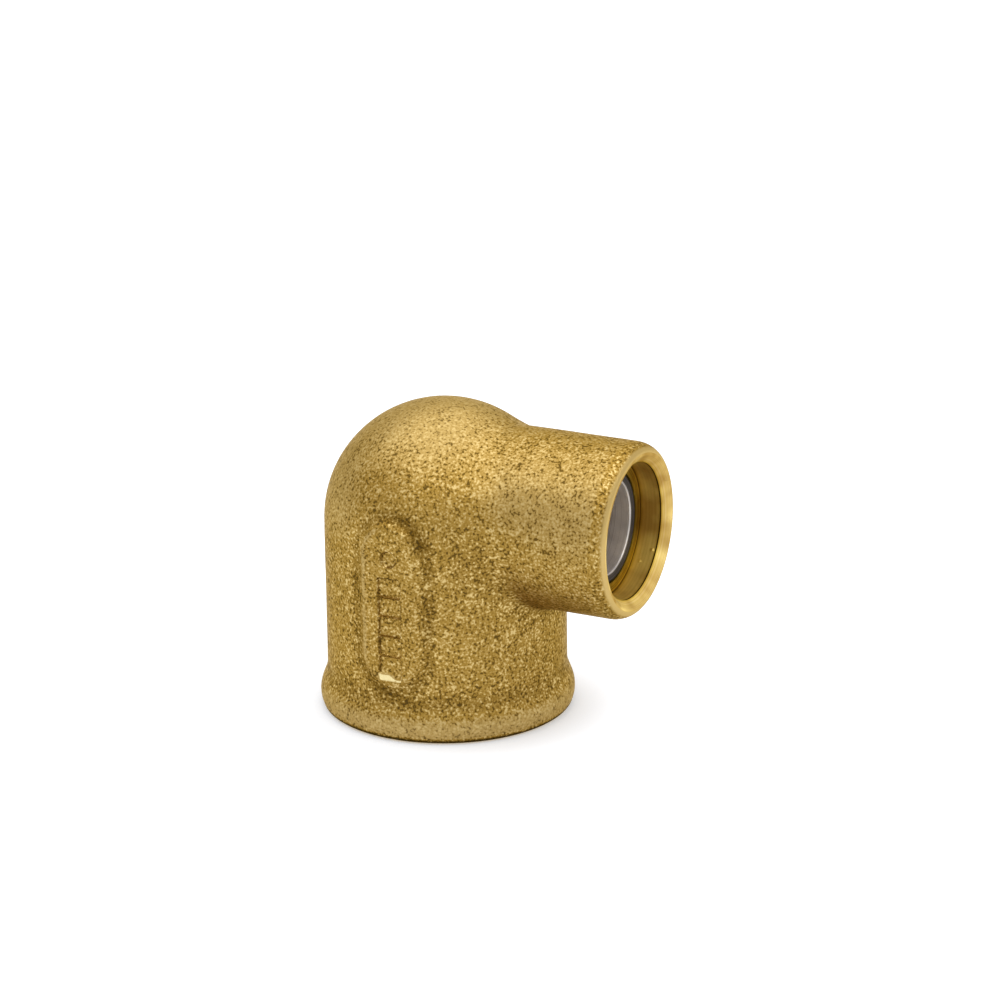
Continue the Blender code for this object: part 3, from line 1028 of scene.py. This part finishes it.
        # the thread and the chamber are painted darker, as shade
        wall_ids = draft.add(foot_ring(angles, radius, profile[:, 1:]), -self.inner_shade)
        outer = (np.linalg.norm(draft.placed(foot[0])[:2]), 0.0)
        face = straight(outer, (self.thread_major + self.foot_chamfer, 0.0), 5)
        flat_ids = draft.add(foot_ring(angles, face[:, :1], 0.0))
        draft.halve(foot, flat_ids[0], slot, flip=True)
        draft.sheet(np.concatenate([flat_ids, wall_ids[:1]]), slot, flip=True)
        keep, loop = window(wall_ids, first_row, first_row + rows, self.window_cells // 2)
        draft.sheet(wall_ids, slot, flip=True, keep=keep)
        top = self.chamber.centre + self.chamber.radius
        draft.lid(wall_ids[-1], top, slot, 0.0, flip=True)
        return loop

    def passage(self, seat: Array, turn: Array, loop: Array) -> None:
        """The way through the sleeve's seat into the chamber.

        Rings round the port's axis run back to the chamber's wall, their angles going to those of
        the inner window's edge, and then out along that wall to the edge.

        Args:
            seat: the last ring of the socket.
            turn: that ring's angles.
            loop: indices of the inner window's edge.
        """
        draft, axis, slot = self.draft, self.datum.port_height, Finish.PORT_TURNED
        goal, away = self.round_port(draft.placed(loop))
        turn = turn[::2]
        wide = self.socket_radius - self.shoulder_width
        back = self.datum.sleeve_back - self.fit_gap
        bore = wide - self.fit_gap - self.sleeve_wall
        start = self.datum.shoulder_reach - 1.2 * self.seat_length
        corners = [(wide, start), (wide, back), (bore, back)]
        path = np.concatenate([corners[:1], polyline(corners, (5, 1))])
        angles = turn + np.linspace(0.1, 0.6, len(path))[:, None] * (goal - turn)
        # the passage is painted darker, as shade
        ids = draft.add(port_ring(angles, path[:, :1], path[:, 1:], axis), -self.passage_shade)
        draft.halve(seat, ids[0], slot)
        draft.sheet(ids, slot)
        share = shares(5)
        angles = goal + 0.4 * (1.0 - share) * (turn - goal)
        along = back + share * (self.chamber.reach(goal, bore) - back)
        way = port_ring(angles, bore, along, axis)
        ring = draft.band(ids[-1], way, slot, -self.passage_shade)
        fan = self.chamber.points(goal, bore + shares(4)[:-1] * (away - bore))
        ring = draft.band(ring, fan, slot, -self.inner_shade)
        draft.sheet(np.stack([ring, loop]), slot)

    def forged(self, points: Array, skins: Array, faces: Array) -> Array:
        """The blasted skin's unevenness: it sinks by a slow swell and a quick ripple, never rises.

        A point goes in along its normal by half the swell and half the ripple, each times one less
        its lattice noise, where the skin is whole.

        Args:
            points: the plain surface.
            skins: 1 where the skin is.
            faces: triangles of the surface.

        Returns:
            The uneven surface.
        """
        slow = lattice_noise(points, self.swell_cell, self.swell_seed)
        quick = lattice_noise(points, self.ripple_cell, self.ripple_seed)
        sunk = (self.swell / 2 * (1.0 - slow) + self.ripple / 2 * (1.0 - quick)) * skins
        return points - vertex_normals(points, faces) * sunk[:, None]

    def build(self, materials: list[bpy.types.Material]) -> bpy.types.Object:
        """Make the forging.

        Args:
            materials: the blasted and the turned brass.

        Returns:
            The finished object, riding on the root body.
        """
        foot, loop = self.outer_wall()
        mouth, turn = self.port(*self.root(loop))
        self.passage(self.socket(mouth, turn), turn, self.inside(foot))
        shift = self.datum.foot_x
        obj = self.draft.finish("elbow_forging", materials, self.crisp, shift, self.forged)
        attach(obj, "root")
        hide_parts("elbow_body")
        return obj


# ---- The sleeve ----


@dataclass
class PortSleeve:
    """The thin steel sleeve pressed into the side port, with a lead-in cone and a painted highlight
    with wear along its lip.
    """

    datum: Datum
    wall: float = 1.1 * MM
    lead_in: float = 0.25 * MM
    lip: float = 0.12 * MM
    soft: float = 0.07 * MM  # size of the other edges' bevels
    # painted highlight with wear along the lip's edge
    lip_wear: float = 1.6
    # painted shade over the lead-in cone and the front face
    face_shade: float = 1.2
    crisp: float = math.radians(35.0)  # the angle above which an edge stays crisp
    columns: int = 160
    rows: tuple[int, ...] = (2, 14, 2, 2, 60, 2, 2, 2, 30)  # from corner to corner of the section

    @property
    def ridge(self) -> float:
        """How far the lead-in cone's inner edge is from the foot's axis."""
        return self.datum.shoulder_reach - self.lead_in

    def path(self) -> Array:
        """The section of the sleeve's wall.

        Returns:
            (radius, distance along X) down the lead-in cone, back along the bore, out at the back
            end and forward along the outside.
        """
        outer, soft, ridge = self.datum.sleeve_radius, self.soft, self.ridge
        bore, front, back = outer - self.wall, self.datum.shoulder_reach, self.datum.sleeve_back
        corners = [
            (outer, front - self.lip),
            (outer - self.lip, front),
            (bore + soft, ridge + soft),
            (bore, ridge - soft),
            (bore, ridge - 3 * soft),
            (bore, back + soft),
            (bore + soft, back),
            (outer - soft, back),
            (outer, back + soft),
            (outer, front - self.lip),
        ]
        return polyline(corners, self.rows)

    def build(self, material: bpy.types.Material) -> bpy.types.Object:
        """Make the sleeve: its path carried round the port's axis and closed on itself.

        Args:
            material: the turned steel.

        Returns:
            The finished object, riding on the root body.
        """
        draft = MeshDraft()
        path = self.path()
        away, along = path[:, :1], path[:, 1:]
        turn = np.linspace(0.0, 2 * math.pi, self.columns, endpoint=False)
        inside = away < self.datum.sleeve_radius - self.wall / 2
        # a painted highlight with wear along the lip, uneven round it; painted shade past it, on
        # the cone and the face
        uneven = 0.45 + 0.3 * np.cos(5 * turn + 0.7) + 0.15 * np.cos(13 * turn)
        crest = self.lip_wear * hump(along, self.ridge, 0.06 * MM) * inside * uneven
        face = self.face_shade * ease(along, self.ridge + 0.06 * MM, self.ridge + 0.12 * MM)
        ids = draft.add(port_ring(turn, away, along, self.datum.port_height), crest - face)
        draft.sheet(np.concatenate([ids, ids[:1]]), 0)
        obj = draft.finish("pressed_sleeve", [material], self.crisp, self.datum.foot_x)
        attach(obj, "root")
        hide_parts("port_sleeve")
        return obj


# ---- Finishes ----


class Blend(Enum):
    """How two colours are mixed."""

    MIX = "MIX"
    MULTIPLY = "MULTIPLY"


@dataclass
class Nodes:
    """Short ways to add nodes to one node tree."""

    tree: bpy.types.NodeTree

    def add(self, kind: str, feeds: Feeds | None = None, **settings: object) -> bpy.types.Node:
        """Add a node.

        Args:
            kind: its type.
            feeds: what its inputs take, by name or number.
            settings: its own properties.

        Returns:
            The node.
        """
        node = self.tree.nodes.new(kind)
        for key, value in settings.items():
            setattr(node, key, value)
        return self.feed(node, feeds or {})

    def feed(self, node: bpy.types.Node, feeds: Feeds) -> bpy.types.Node:
        """Link a node's inputs or write plain values on them.

        Args:
            node: the node.
            feeds: what its inputs take, by name or number.

        Returns:
            The same node.
        """
        for key, source in feeds.items():
            socket = node.inputs[key]
            if isinstance(source, bpy.types.NodeSocket):
                self.tree.links.new(source, socket)
            else:
                socket.default_value = (*source, 1.0) if socket.type == "RGBA" else source
        return node

    def math(
        self, operation: str, first: Socket, second: Socket | float = 0.0, clamp: bool = False
    ) -> Socket:
        """A Math node's result."""
        feeds = {0: first, 1: second}
        return self.add("ShaderNodeMath", feeds, operation=operation, use_clamp=clamp).outputs[0]

    def times(self, first: Socket, second: Socket | float) -> Socket:
        """A product."""
        return self.math("MULTIPLY", first, second)

    def plus(self, first: Socket, second: Socket | float, clamp: bool = False) -> Socket:
        """A sum."""
        return self.math("ADD", first, second, clamp)

    def most(self, *values: Socket) -> Socket:
        """The largest of a few values."""
        return functools.reduce(lambda left, right: self.math("MAXIMUM", left, right), values)

    def remap(self, value: Socket, *ends: float) -> Socket:
        """A value stretched from one range to another (low, high, to low, to high) and held."""
        feeds = dict(enumerate((value, *ends)))
        return self.add("ShaderNodeMapRange", feeds, clamp=True).outputs[0]

    def mix(self, share: Socket, first: Tint, second: Tint, blend: Blend = Blend.MIX) -> Socket:
        """Two colours mixed by a share."""
        feeds = {0: share, 6: first, 7: second}
        return self.add("ShaderNodeMix", feeds, data_type="RGBA", blend_type=blend.value).outputs[2]

    def noise(self, vector: Socket, scale: Socket | float, detail: float = 0.0) -> Socket:
        """A noise texture's value."""
        feeds = {"Vector": vector, "Scale": scale, "Detail": detail}
        return self.add("ShaderNodeTexNoise", feeds).outputs["Fac"]

    def cells(self, vector: Socket, scale: Socket) -> tuple[Socket, Socket]:
        """The distance to the middle of random cells, and each cell's own random number."""
        made = self.add("ShaderNodeTexVoronoi", {"Vector": vector, "Scale": scale}).outputs
        return made["Distance"], self.add("ShaderNodeSeparateColor", {0: made["Color"]}).outputs[0]

    def length(self, vector: Socket) -> Socket:
        """A vector's length."""
        return self.add("ShaderNodeVectorMath", {0: vector}, operation="LENGTH").outputs["Value"]

    def place(self) -> Socket:
        """The object's own coordinates."""
        return self.add("ShaderNodeTexCoord").outputs["Object"]

    def attribute(self, name: str) -> Socket:
        """A number kept on the mesh's points."""
        return self.add("ShaderNodeAttribute", attribute_name=name).outputs["Fac"]

    def group(self, tree: bpy.types.NodeTree, **feeds: Socket | float) -> dict[str, Socket]:
        """A node group's outputs by name, with its inputs fed by name."""
        return dict(self.add("ShaderNodeGroup", feeds, node_tree=tree).outputs.items())

    def metal(
        self, colour: Socket, edge: Colour, rough: Socket, height: Socket, depth: float
    ) -> None:
        """Feed the tree's shader as a metal.

        Args:
            colour: the metal's colour seen face on.
            edge: what that colour is multiplied by where it is seen edge on.
            rough: its roughness.
            height: its relief, as a share of the depth.
            depth: the relief's depth, in metres.
        """
        bump = self.add("ShaderNodeBump", {"Strength": 1.0, "Distance": depth, "Height": height})
        feeds = {"Base Color": colour, "Metallic": 1.0, "Specular Tint": edge}
        feeds |= {"Roughness": rough, "Normal": bump.outputs["Normal"]}
        self.feed(self.tree.nodes["Principled BSDF"], feeds)


def group_tree(
    name: str, inputs: tuple[str, ...], outputs: tuple[str, ...]
) -> tuple[Nodes, dict[str, Socket], bpy.types.Node]:
    """An empty shader node group. Its sockets are plain numbers, apart from one called Vector.

    Args:
        name: the group's name.
        inputs: names of the input sockets.
        outputs: names of the output sockets.

    Returns:
        Its nodes, the sockets that bring the inputs, and the node that takes the outputs.
    """
    tree = bpy.data.node_groups.new(name, "ShaderNodeTree")
    for side, keys in (("INPUT", inputs), ("OUTPUT", outputs)):
        for key in keys:
            kind = "NodeSocketVector" if key == "Vector" else "NodeSocketFloat"
            tree.interface.new_socket(name=key, in_out=side, socket_type=kind)
    nodes = Nodes(tree)
    given = nodes.add("NodeGroupInput").outputs
    return nodes, dict(given.items()), nodes.add("NodeGroupOutput")


@dataclass(frozen=True)
class SharedEffects:
    """The node groups that the metals share."""

    grain: bpy.types.NodeTree  # the dents that blasting leaves
    wear_light_masks: bpy.types.NodeTree  # wear and painted highlights on crests, painted shade in hollows and corners
    turning: bpy.types.NodeTree  # the rings that a cutting tool leaves round an axis
    tone: bpy.types.NodeTree  # slow changes of shade over a surface

    @classmethod
    def build(cls) -> "SharedEffects":
        """Make every group once."""
        return cls(cls._grain(), cls._wear_light_masks(), cls._turning(), cls._tone())

    @staticmethod
    def _grain() -> bpy.types.NodeTree:
        """Blasted grain. Its shade is noise at four sizes round one half, plus points at the
        middles of random cells: some cells are pits, some glints. The distance from one half is
        then multiplied by 0.2 plus 2.8 times itself, which leaves most of the skin quiet and a few
        grains strong. Its height is fine noise less the pits.

        Returns:
            The group.
        """
        nodes, given, made = group_tree("blasted_grain", ("Vector", "Density"), ("Shade", "Height"))
        where, density = given["Vector"], given["Density"]
        shade = -0.825
        for size, weight in ((1.0, 1.25), (1.9, 0.65), (0.5, 0.45), (0.2, 0.30)):
            noise = nodes.noise(where, nodes.times(density, size))
            shade = nodes.plus(nodes.times(noise, weight), shade)
        distance, chance = nodes.cells(where, nodes.times(density, 0.6))
        point = nodes.remap(distance, 0.10, 0.34, 1.0, 0.0)
        pits = nodes.times(point, nodes.remap(chance, 0.15, 0.45, 1.0, 0.0))
        glints = nodes.times(point, nodes.remap(chance, 0.75, 0.95, 0.0, 1.0))
        shade = nodes.math("SUBTRACT", shade, nodes.times(pits, 0.30))
        away = nodes.math("SUBTRACT", nodes.plus(shade, nodes.times(glints, 0.30)), 0.5)
        gain = nodes.plus(nodes.times(nodes.math("ABSOLUTE", away), 2.8), 0.2)
        shade = nodes.plus(nodes.times(away, gain), 0.5, clamp=True)
        rough = nodes.noise(where, nodes.times(density, 1.1))
        height = nodes.math("SUBTRACT", rough, nodes.times(pits, 0.5))
        nodes.feed(made, {"Shade": shade, "Height": height})
        return nodes.tree

    @staticmethod
    def _wear_light_masks() -> bpy.types.NodeTree:
        """Wear and painted highlight where the light_and_wear and a little grain pass a crest's
        threshold, painted shade where they fall below a hollow's, deep painted shade where they
        fall below a sharp corner's. Each is a mask, 0 to 1.

        Returns:
            The group.
        """
        nodes, given, made = group_tree("wear_and_painted_light", ("Bulge", "Grain"), ("WornAndLit", "PaintedShade", "DeepShade"))
        ragged = nodes.times(nodes.math("SUBTRACT", given["Grain"], 0.5), 0.5)
        level = nodes.plus(given["Bulge"], ragged)
        ranges = {"WornAndLit": (0.12, 0.6), "PaintedShade": (-0.1, -0.95), "DeepShade": (-0.9, -1.7)}
        masks = {key: nodes.remap(level, *ends, 0.0, 1.0) for key, ends in ranges.items()}
        nodes.feed(made, masks)
        return nodes.tree

    @staticmethod
    def _turning() -> bpy.types.NodeTree:
        """Tool rings: noise along one line, read at the height along the axis plus the distance
        from it, so that walls and faces both get rings. A second, finer line adds scratches.

        Returns:
            The group.
        """
        nodes, given, made = group_tree("turning_marks", ("Vector", "Density"), ("Height", "Shade"))
        x, y, z = nodes.add("ShaderNodeSeparateXYZ", {0: given["Vector"]}).outputs
        away = nodes.length(nodes.add("ShaderNodeCombineXYZ", {0: x, 1: y}).outputs[0])
        wobble = nodes.times(nodes.noise(given["Vector"], 260.0), 0.00012)
        line = nodes.times(nodes.plus(nodes.plus(z, away), wobble), given["Density"])
        rings = []
        for size, detail in ((1.0, 1.0), (3.1, 0.0)):
            feeds = {"W": nodes.times(line, size), "Scale": 1.0, "Detail": detail}
            ring = nodes.add("ShaderNodeTexNoise", noise_dimensions="1D")
            rings.append(nodes.feed(ring, feeds).outputs["Fac"])
        broken = nodes.remap(nodes.noise(given["Vector"], 900.0, 1.0), 0.35, 0.65, 0.3, 1.0)
        scratch = nodes.times(nodes.times(rings[1], broken), 0.5)
        shade = nodes.remap(rings[0], 0.25, 0.75, 0.0, 1.0)
        nodes.feed(made, {"Height": nodes.plus(rings[0], scratch), "Shade": shade})
        return nodes.tree

    @staticmethod
    def _tone() -> bpy.types.NodeTree:
        """Slow patches: broad noise stretched from a low to a high share. Flecks: the middles of a
        few random cells, four cells to a patch.

        Returns:
            The group.
        """
        nodes, given, made = group_tree("tone_patches", ("Vector", "Density"), ("Tone", "Fleck"))
        patches = nodes.noise(given["Vector"], given["Density"], 2.0)
        tone = nodes.remap(patches, 0.3, 0.7, 0.0, 1.0)
        distance, chance = nodes.cells(given["Vector"], nodes.times(given["Density"], 4.0))
        middle = nodes.remap(distance, 0.05, 0.25, 1.0, 0.0)
        few = nodes.remap(chance, 0.86, 0.88, 0.0, 1.0)
        nodes.feed(made, {"Tone": tone, "Fleck": nodes.times(middle, few)})
        return nodes.tree


def new_material(name: str) -> tuple[bpy.types.Material, Nodes]:
    """Make a node material.

    Args:
        name: its name.

    Returns:
        The material and its nodes.
    """
    material = bpy.data.materials.new(name)
    material.use_nodes = True
    return material, Nodes(material.node_tree)


@dataclass(frozen=True)
class BlastedBrass:
    """The forging's skin: shot-blasted brass with pits and glints, painted shade and painted
    highlights.
    """

    pit: Colour = (0.095, 0.050, 0.004)  # the darkest grains
    body: Colour = (0.358, 0.216, 0.042)  # between them
    glint: Colour = (0.660, 0.490, 0.200)  # the brightest grains
    cut: Colour = (0.520, 0.364, 0.130)  # where the skin was machined off at the mouth
    painted_shade: Colour = (0.46, 0.40, 0.24)  # what painted shade in hollows, creases and round the marks multiplies the colour by
    patch: Colour = (0.62, 0.58, 0.5)  # what slow patches are multiplied by
    worn_and_lit: Colour = (0.455, 0.325, 0.125)  # rubbed crests and painted highlights
    bare_glint: Colour = (0.900, 0.760, 0.400)  # struck bright metal with a painted highlight
    deep_shade: Colour = (0.030, 0.016, 0.002)  # deep painted shade in sharp corners and along the foot's lower edge
    edge: Colour = (0.80, 0.70, 0.50)  # what the colour is multiplied by where it is seen edge on
    density: float = 3000.0  # grains to the metre
    patches: float = 130.0  # slow patches to the metre
    roughness: float = 0.46
    rough_spread: Point = (0.12, -0.08)  # added in pits, and in glints
    shade_share: float = 0.8  # how much of each shows where it is full
    wear_share: float = 0.75
    patch_share: float = 0.22
    ragged: float = 0.25  # how far the grain frays the skin's edge
    struck_glint: Point = (0.9, 1.3)  # light_and_wear levels between which the struck metal and its painted highlight set in
    relief: float = 0.000024  # depth of the grain, in metres

    def build(self, effects: SharedEffects) -> bpy.types.Material:
        """Make the material.

        Args:
            effects: the shared node groups.

        Returns:
            The material.
        """
        material, nodes = new_material("blasted_brass")
        where, light_and_wear = nodes.place(), nodes.attribute(LIGHT_AND_WEAR)
        grain = nodes.group(effects.grain, Vector=where, Density=self.density)
        tone = nodes.group(effects.tone, Vector=where, Density=self.patches)["Tone"]
        shade = grain["Shade"]
        wear_light_masks = nodes.group(effects.wear_light_masks, Bulge=light_and_wear, Grain=shade)
        colour = nodes.mix(nodes.remap(shade, 0.0, 0.5, 0.0, 1.0), self.pit, self.body)
        colour = nodes.mix(nodes.remap(shade, 0.5, 1.0, 0.0, 1.0), colour, self.glint)
        patches = nodes.remap(tone, 0.0, 1.0, self.patch_share, 0.0)
        colour = nodes.mix(patches, colour, self.patch, Blend.MULTIPLY)
        # painted shade in hollows, creases, round the marks and under the port; wear and painted
        # highlights on crests; deep painted shade in corners and along the foot
        painted_shade = nodes.times(wear_light_masks["PaintedShade"], self.shade_share)
        colour = nodes.mix(painted_shade, colour, self.painted_shade, Blend.MULTIPLY)
        colour = nodes.mix(nodes.times(wear_light_masks["WornAndLit"], self.wear_share), colour, self.worn_and_lit)
        colour = nodes.mix(wear_light_masks["DeepShade"], colour, self.deep_shade)
        ragged = nodes.remap(shade, 0.0, 1.0, -self.ragged, self.ragged)
        skin = nodes.plus(nodes.attribute(SKIN), ragged, clamp=True)
        skin = nodes.remap(skin, 0.2, 0.8, 0.0, 1.0)
        colour = nodes.mix(skin, self.cut, colour)
        # struck: bright struck metal with a painted highlight, under the lowest field
        struck_glint = nodes.remap(nodes.plus(light_and_wear, ragged), *self.struck_glint, 0.0, 1.0)
        colour = nodes.mix(struck_glint, colour, self.bare_glint)
        ends = (self.roughness + extra for extra in self.rough_spread)
        rough = nodes.remap(shade, 0.0, 1.0, *ends)
        rough = nodes.times(rough, nodes.remap(skin, 0.0, 1.0, 0.7, 1.0))
        height = nodes.times(grain["Height"], skin)
        nodes.metal(colour, self.edge, rough, height, self.relief)
        return material


@dataclass(frozen=True)
class TurnedMetal:
    """A machined metal with the tool's rings round an axis."""

    name: str
    dark: Colour  # in the rings' valleys
    light: Colour  # on their crests
    worn_and_lit: Colour  # lips' wear, and the painted highlight on the sleeve's lip
    painted_shade: Colour  # what painted shade multiplies the colour by
    dull: Colour  # what dull patches are multiplied by
    deep_shade: Colour  # deep painted shade in sharp corners
    edge: Colour  # what the colour is multiplied by where it is seen edge on
    roughness: float
    density: float  # rings to the metre
    depth: float = 0.000008  # height of the rings, in metres
    patches: float = 190.0  # dull patches to the metre
    dents: float = 12.0  # height of the few bright flecks, in rings
    rough_spread: Point = (0.07, -0.05)  # added in dull patches, and between them
    wear_share: float = 0.8  # how much of the wear and painted highlights, and of the dull patches, shows

    def build(self, effects: SharedEffects, axis: Matrix) -> bpy.types.Material:
        """Make the material.

        Args:
            effects: the shared node groups.
            axis: the frame whose Z the rings go round.

        Returns:
            The material.
        """
        material, nodes = new_material(self.name)
        where = nodes.place()
        turn = nodes.add("ShaderNodeMapping", vector_type="TEXTURE")
        feeds = {"Vector": where, "Location": axis.to_translation(), "Rotation": axis.to_euler()}
        turned = nodes.feed(turn, feeds).outputs[0]
        rings = nodes.group(effects.turning, Vector=turned, Density=self.density)
        slow = nodes.group(effects.tone, Vector=where, Density=self.patches)
        wear_light_masks = nodes.group(effects.wear_light_masks, Bulge=nodes.attribute(LIGHT_AND_WEAR), Grain=rings["Shade"])
        colour = nodes.mix(rings["Shade"], self.dark, self.light)
        # painted shade in the bore, the passage and on the sleeve's face; wear and painted
        # highlights on lips; deep painted shade in corners
        colour = nodes.mix(wear_light_masks["PaintedShade"], colour, self.painted_shade, Blend.MULTIPLY)
        colour = nodes.mix(nodes.times(wear_light_masks["WornAndLit"], self.wear_share), colour, self.worn_and_lit)
        patches = nodes.remap(slow["Tone"], 0.2, 0.8, self.wear_share, 0.0)
        colour = nodes.mix(patches, colour, self.dull, Blend.MULTIPLY)
        colour = nodes.mix(wear_light_masks["DeepShade"], colour, self.deep_shade)
        ends = (self.roughness + extra for extra in self.rough_spread)
        rough = nodes.remap(slow["Tone"], 0.0, 1.0, *ends)
        height = nodes.plus(rings["Height"], nodes.times(slow["Fleck"], self.dents))
        nodes.metal(colour, self.edge, rough, height, self.depth)
        return material


PORT_BRASS = TurnedMetal(
    name="port_turned_brass",
    dark=(0.74, 0.53, 0.125),
    light=(0.85, 0.62, 0.165),
    worn_and_lit=(0.87, 0.69, 0.32),
    painted_shade=(0.78, 0.74, 0.40),
    dull=(0.45, 0.32, 0.17),
    deep_shade=(0.045, 0.025, 0.004),
    edge=(0.62, 0.53, 0.34),
    roughness=0.55,
    density=3600.0,
)
FOOT_BRASS = replace(PORT_BRASS, name="foot_turned_brass", roughness=0.3, density=4200.0)
STEEL = TurnedMetal(
    name="turned_steel",
    dark=(0.72, 0.67, 0.62),
    light=(0.86, 0.81, 0.76),
    worn_and_lit=(0.92, 0.91, 0.88),
    painted_shade=(0.16, 0.15, 0.14),
    dull=(0.62, 0.61, 0.62),
    deep_shade=(0.02, 0.02, 0.02),
    edge=(0.85, 0.85, 0.85),
    roughness=0.6,
    density=6500.0,
    dents=0.0,
)


# ---- Floor, light and camera ----


@dataclass(frozen=True)
class Studio:
    """A white floor, a broad soft lamp overhead and a long lens."""

    datum: Datum
    lamp_size: float = 1.4  # side of the square lamp
    lamp_height: float = 0.75
    lamp_right: float = 0.02  # from the foot's axis along X
    lamp_back: float = 0.03  # from it along Y
    lamp_power: float = 6.9  # watts
    lamp_colour: Colour = (0.97, 1.0, 1.07)
    sky: float = 0.5  # strength of the white surroundings as light
    floor_half: float = 3.0
    floor_drop: float = 0.02 * MM  # keeps the floor off the foot's face
    floor_colour: Colour = (0.84, 0.86, 0.89)
    glow: float = 0.47  # what the floor adds where a reflection sees it
    near_glow: float = 0.31  # where the camera sees it beside the foot, lower to paint a deeper shadow there
    far_glow: float = 0.55  # where the camera sees it farther off
    shadow_reach: float = 9.0 * MM  # from the foot's edge to there
    azimuth: float = math.radians(26.64)
    elevation: float = math.radians(19.32)
    roll: float = math.radians(-0.746)
    distance: float = 0.5848
    lens: float = 157.24
    sensor: float = 36.0
    clip_start: float = 0.05
    aim_right: float = 6.914 * MM
    aim_up: float = 26.44 * MM

    def floor(self) -> None:
        """A floor that keeps the fitting's shadow: a matt white, with a glow added for what the
        camera and reflections see of it, so that it reads as white as the surroundings. Beside the
        foot the camera's glow is lower, which paints a deeper shadow there."""
        half = self.floor_half
        corners = [(-half, -half, 0.0), (half, -half, 0.0), (half, half, 0.0), (-half, half, 0.0)]
        mesh = bpy.data.meshes.new("floor")
        mesh.from_pydata(corners, [], [(0, 1, 2, 3)])
        obj = put("floor", mesh)
        obj.location = (self.datum.foot_x, 0.0, -self.floor_drop)
        material, nodes = new_material("floor_white")
        foot, clear = self.datum.bead_radius, self.datum.bead_radius + self.shadow_reach
        # less glow beside the foot: a painted shadow deepening the real one
        near = nodes.remap(nodes.length(nodes.place()), foot, clear, self.near_glow, self.far_glow)
        ray = nodes.add("ShaderNodeLightPath").outputs
        mirrored = nodes.most(ray["Is Glossy Ray"], ray["Is Transmission Ray"])
        seen = nodes.plus(nodes.times(ray["Is Camera Ray"], near), nodes.times(mirrored, self.glow))
        feeds = {"Base Color": self.floor_colour, "Roughness": 0.9, "Specular IOR Level": 0.0}
        feeds |= {"Emission Color": WHITE, "Emission Strength": seen}
        nodes.feed(nodes.tree.nodes["Principled BSDF"], feeds)
        mesh.materials.append(material)

    def surroundings(self) -> None:
        """White surroundings: full where the camera or a reflection sees them, less as light."""
        world = bpy.data.worlds.new("surroundings")
        world.use_nodes = True
        nodes = Nodes(world.node_tree)
        ray = nodes.add("ShaderNodeLightPath").outputs
        seen = nodes.most(ray["Is Camera Ray"], ray["Is Glossy Ray"], ray["Is Transmission Ray"])
        strength = nodes.remap(seen, 0.0, 1.0, self.sky, 1.0)
        nodes.feed(nodes.tree.nodes["Background"], {"Color": WHITE, "Strength": strength})
        bpy.context.scene.world = world

    def lamp(self) -> None:
        """A square lamp overhead, a little to the right and to the back, turned to the fitting."""
        data = bpy.data.lights.new("overhead", "AREA")
        data.size = self.lamp_size
        data.energy = self.lamp_power
        data.color = self.lamp_colour
        obj = put("overhead", data)
        obj.location = (self.datum.foot_x + self.lamp_right, self.lamp_back, self.lamp_height)
        direction = Vector((self.datum.foot_x, 0.0, self.datum.crown / 2)) - obj.location
        obj.rotation_euler = direction.to_track_quat("-Z", "Y").to_euler()

    def camera(self) -> None:
        """A long lens at the front right. Its place is the point under the foot's axis, moved by
        where that point lies off the middle of the view, and then back along the line of sight."""
        sin_a, cos_a = math.sin(self.azimuth), math.cos(self.azimuth)
        sin_e, cos_e = math.sin(self.elevation), math.cos(self.elevation)
        right = Vector((cos_a, sin_a, 0.0))
        up = Vector((-sin_a * sin_e, cos_a * sin_e, cos_e))
        back = Vector((sin_a * cos_e, -cos_a * cos_e, sin_e))
        turned_right = math.cos(self.roll) * right + math.sin(self.roll) * up
        turned_up = math.cos(self.roll) * up - math.sin(self.roll) * right
        data = bpy.data.cameras.new("camera")
        data.lens = self.lens
        data.sensor_width = self.sensor
        data.clip_start = self.clip_start
        obj = put("camera", data)
        base = Vector((self.datum.foot_x, 0.0, 0.0))
        aim = self.aim_right * turned_right + self.aim_up * turned_up
        place = base + aim + self.distance * back
        basis = Matrix((turned_right, turned_up, back)).transposed().to_4x4()
        obj.matrix_world = Matrix.Translation(place) @ basis
        bpy.context.scene.camera = obj

    def build(self) -> None:
        """Set everything up, with the plain view transform."""
        self.floor()
        self.surroundings()
        self.lamp()
        self.camera()
        bpy.context.scene.view_settings.view_transform = "Standard"


def main() -> None:
    """Build the fitting and its studio, and log each piece's point and face counts."""
    logging.basicConfig(level=logging.INFO, format="%(name)s: %(message)s")
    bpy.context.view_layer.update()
    datum = Datum.from_solids()
    effects = SharedEffects.build()
    quarter = Matrix.Rotation(math.pi / 2, 4, "Y")
    port_axis = Matrix.Translation((0.0, 0.0, datum.port_height)) @ quarter
    foot_axis = Matrix.Translation((datum.foot_x, 0.0, 0.0))
    blasted = BlastedBrass().build(effects)
    turned = [PORT_BRASS.build(effects, port_axis), FOOT_BRASS.build(effects, foot_axis)]
    body = ElbowBody(datum).build([blasted, *turned])
    sleeve = PortSleeve(datum).build(STEEL.build(effects, port_axis))
    for piece, mesh in ((body, body.data), (sleeve, sleeve.data)):
        log.info("%s: %d points, %d faces", piece.name, len(mesh.vertices), len(mesh.polygons))
    Studio(datum).build()


if __name__ == "__main__":
    main()
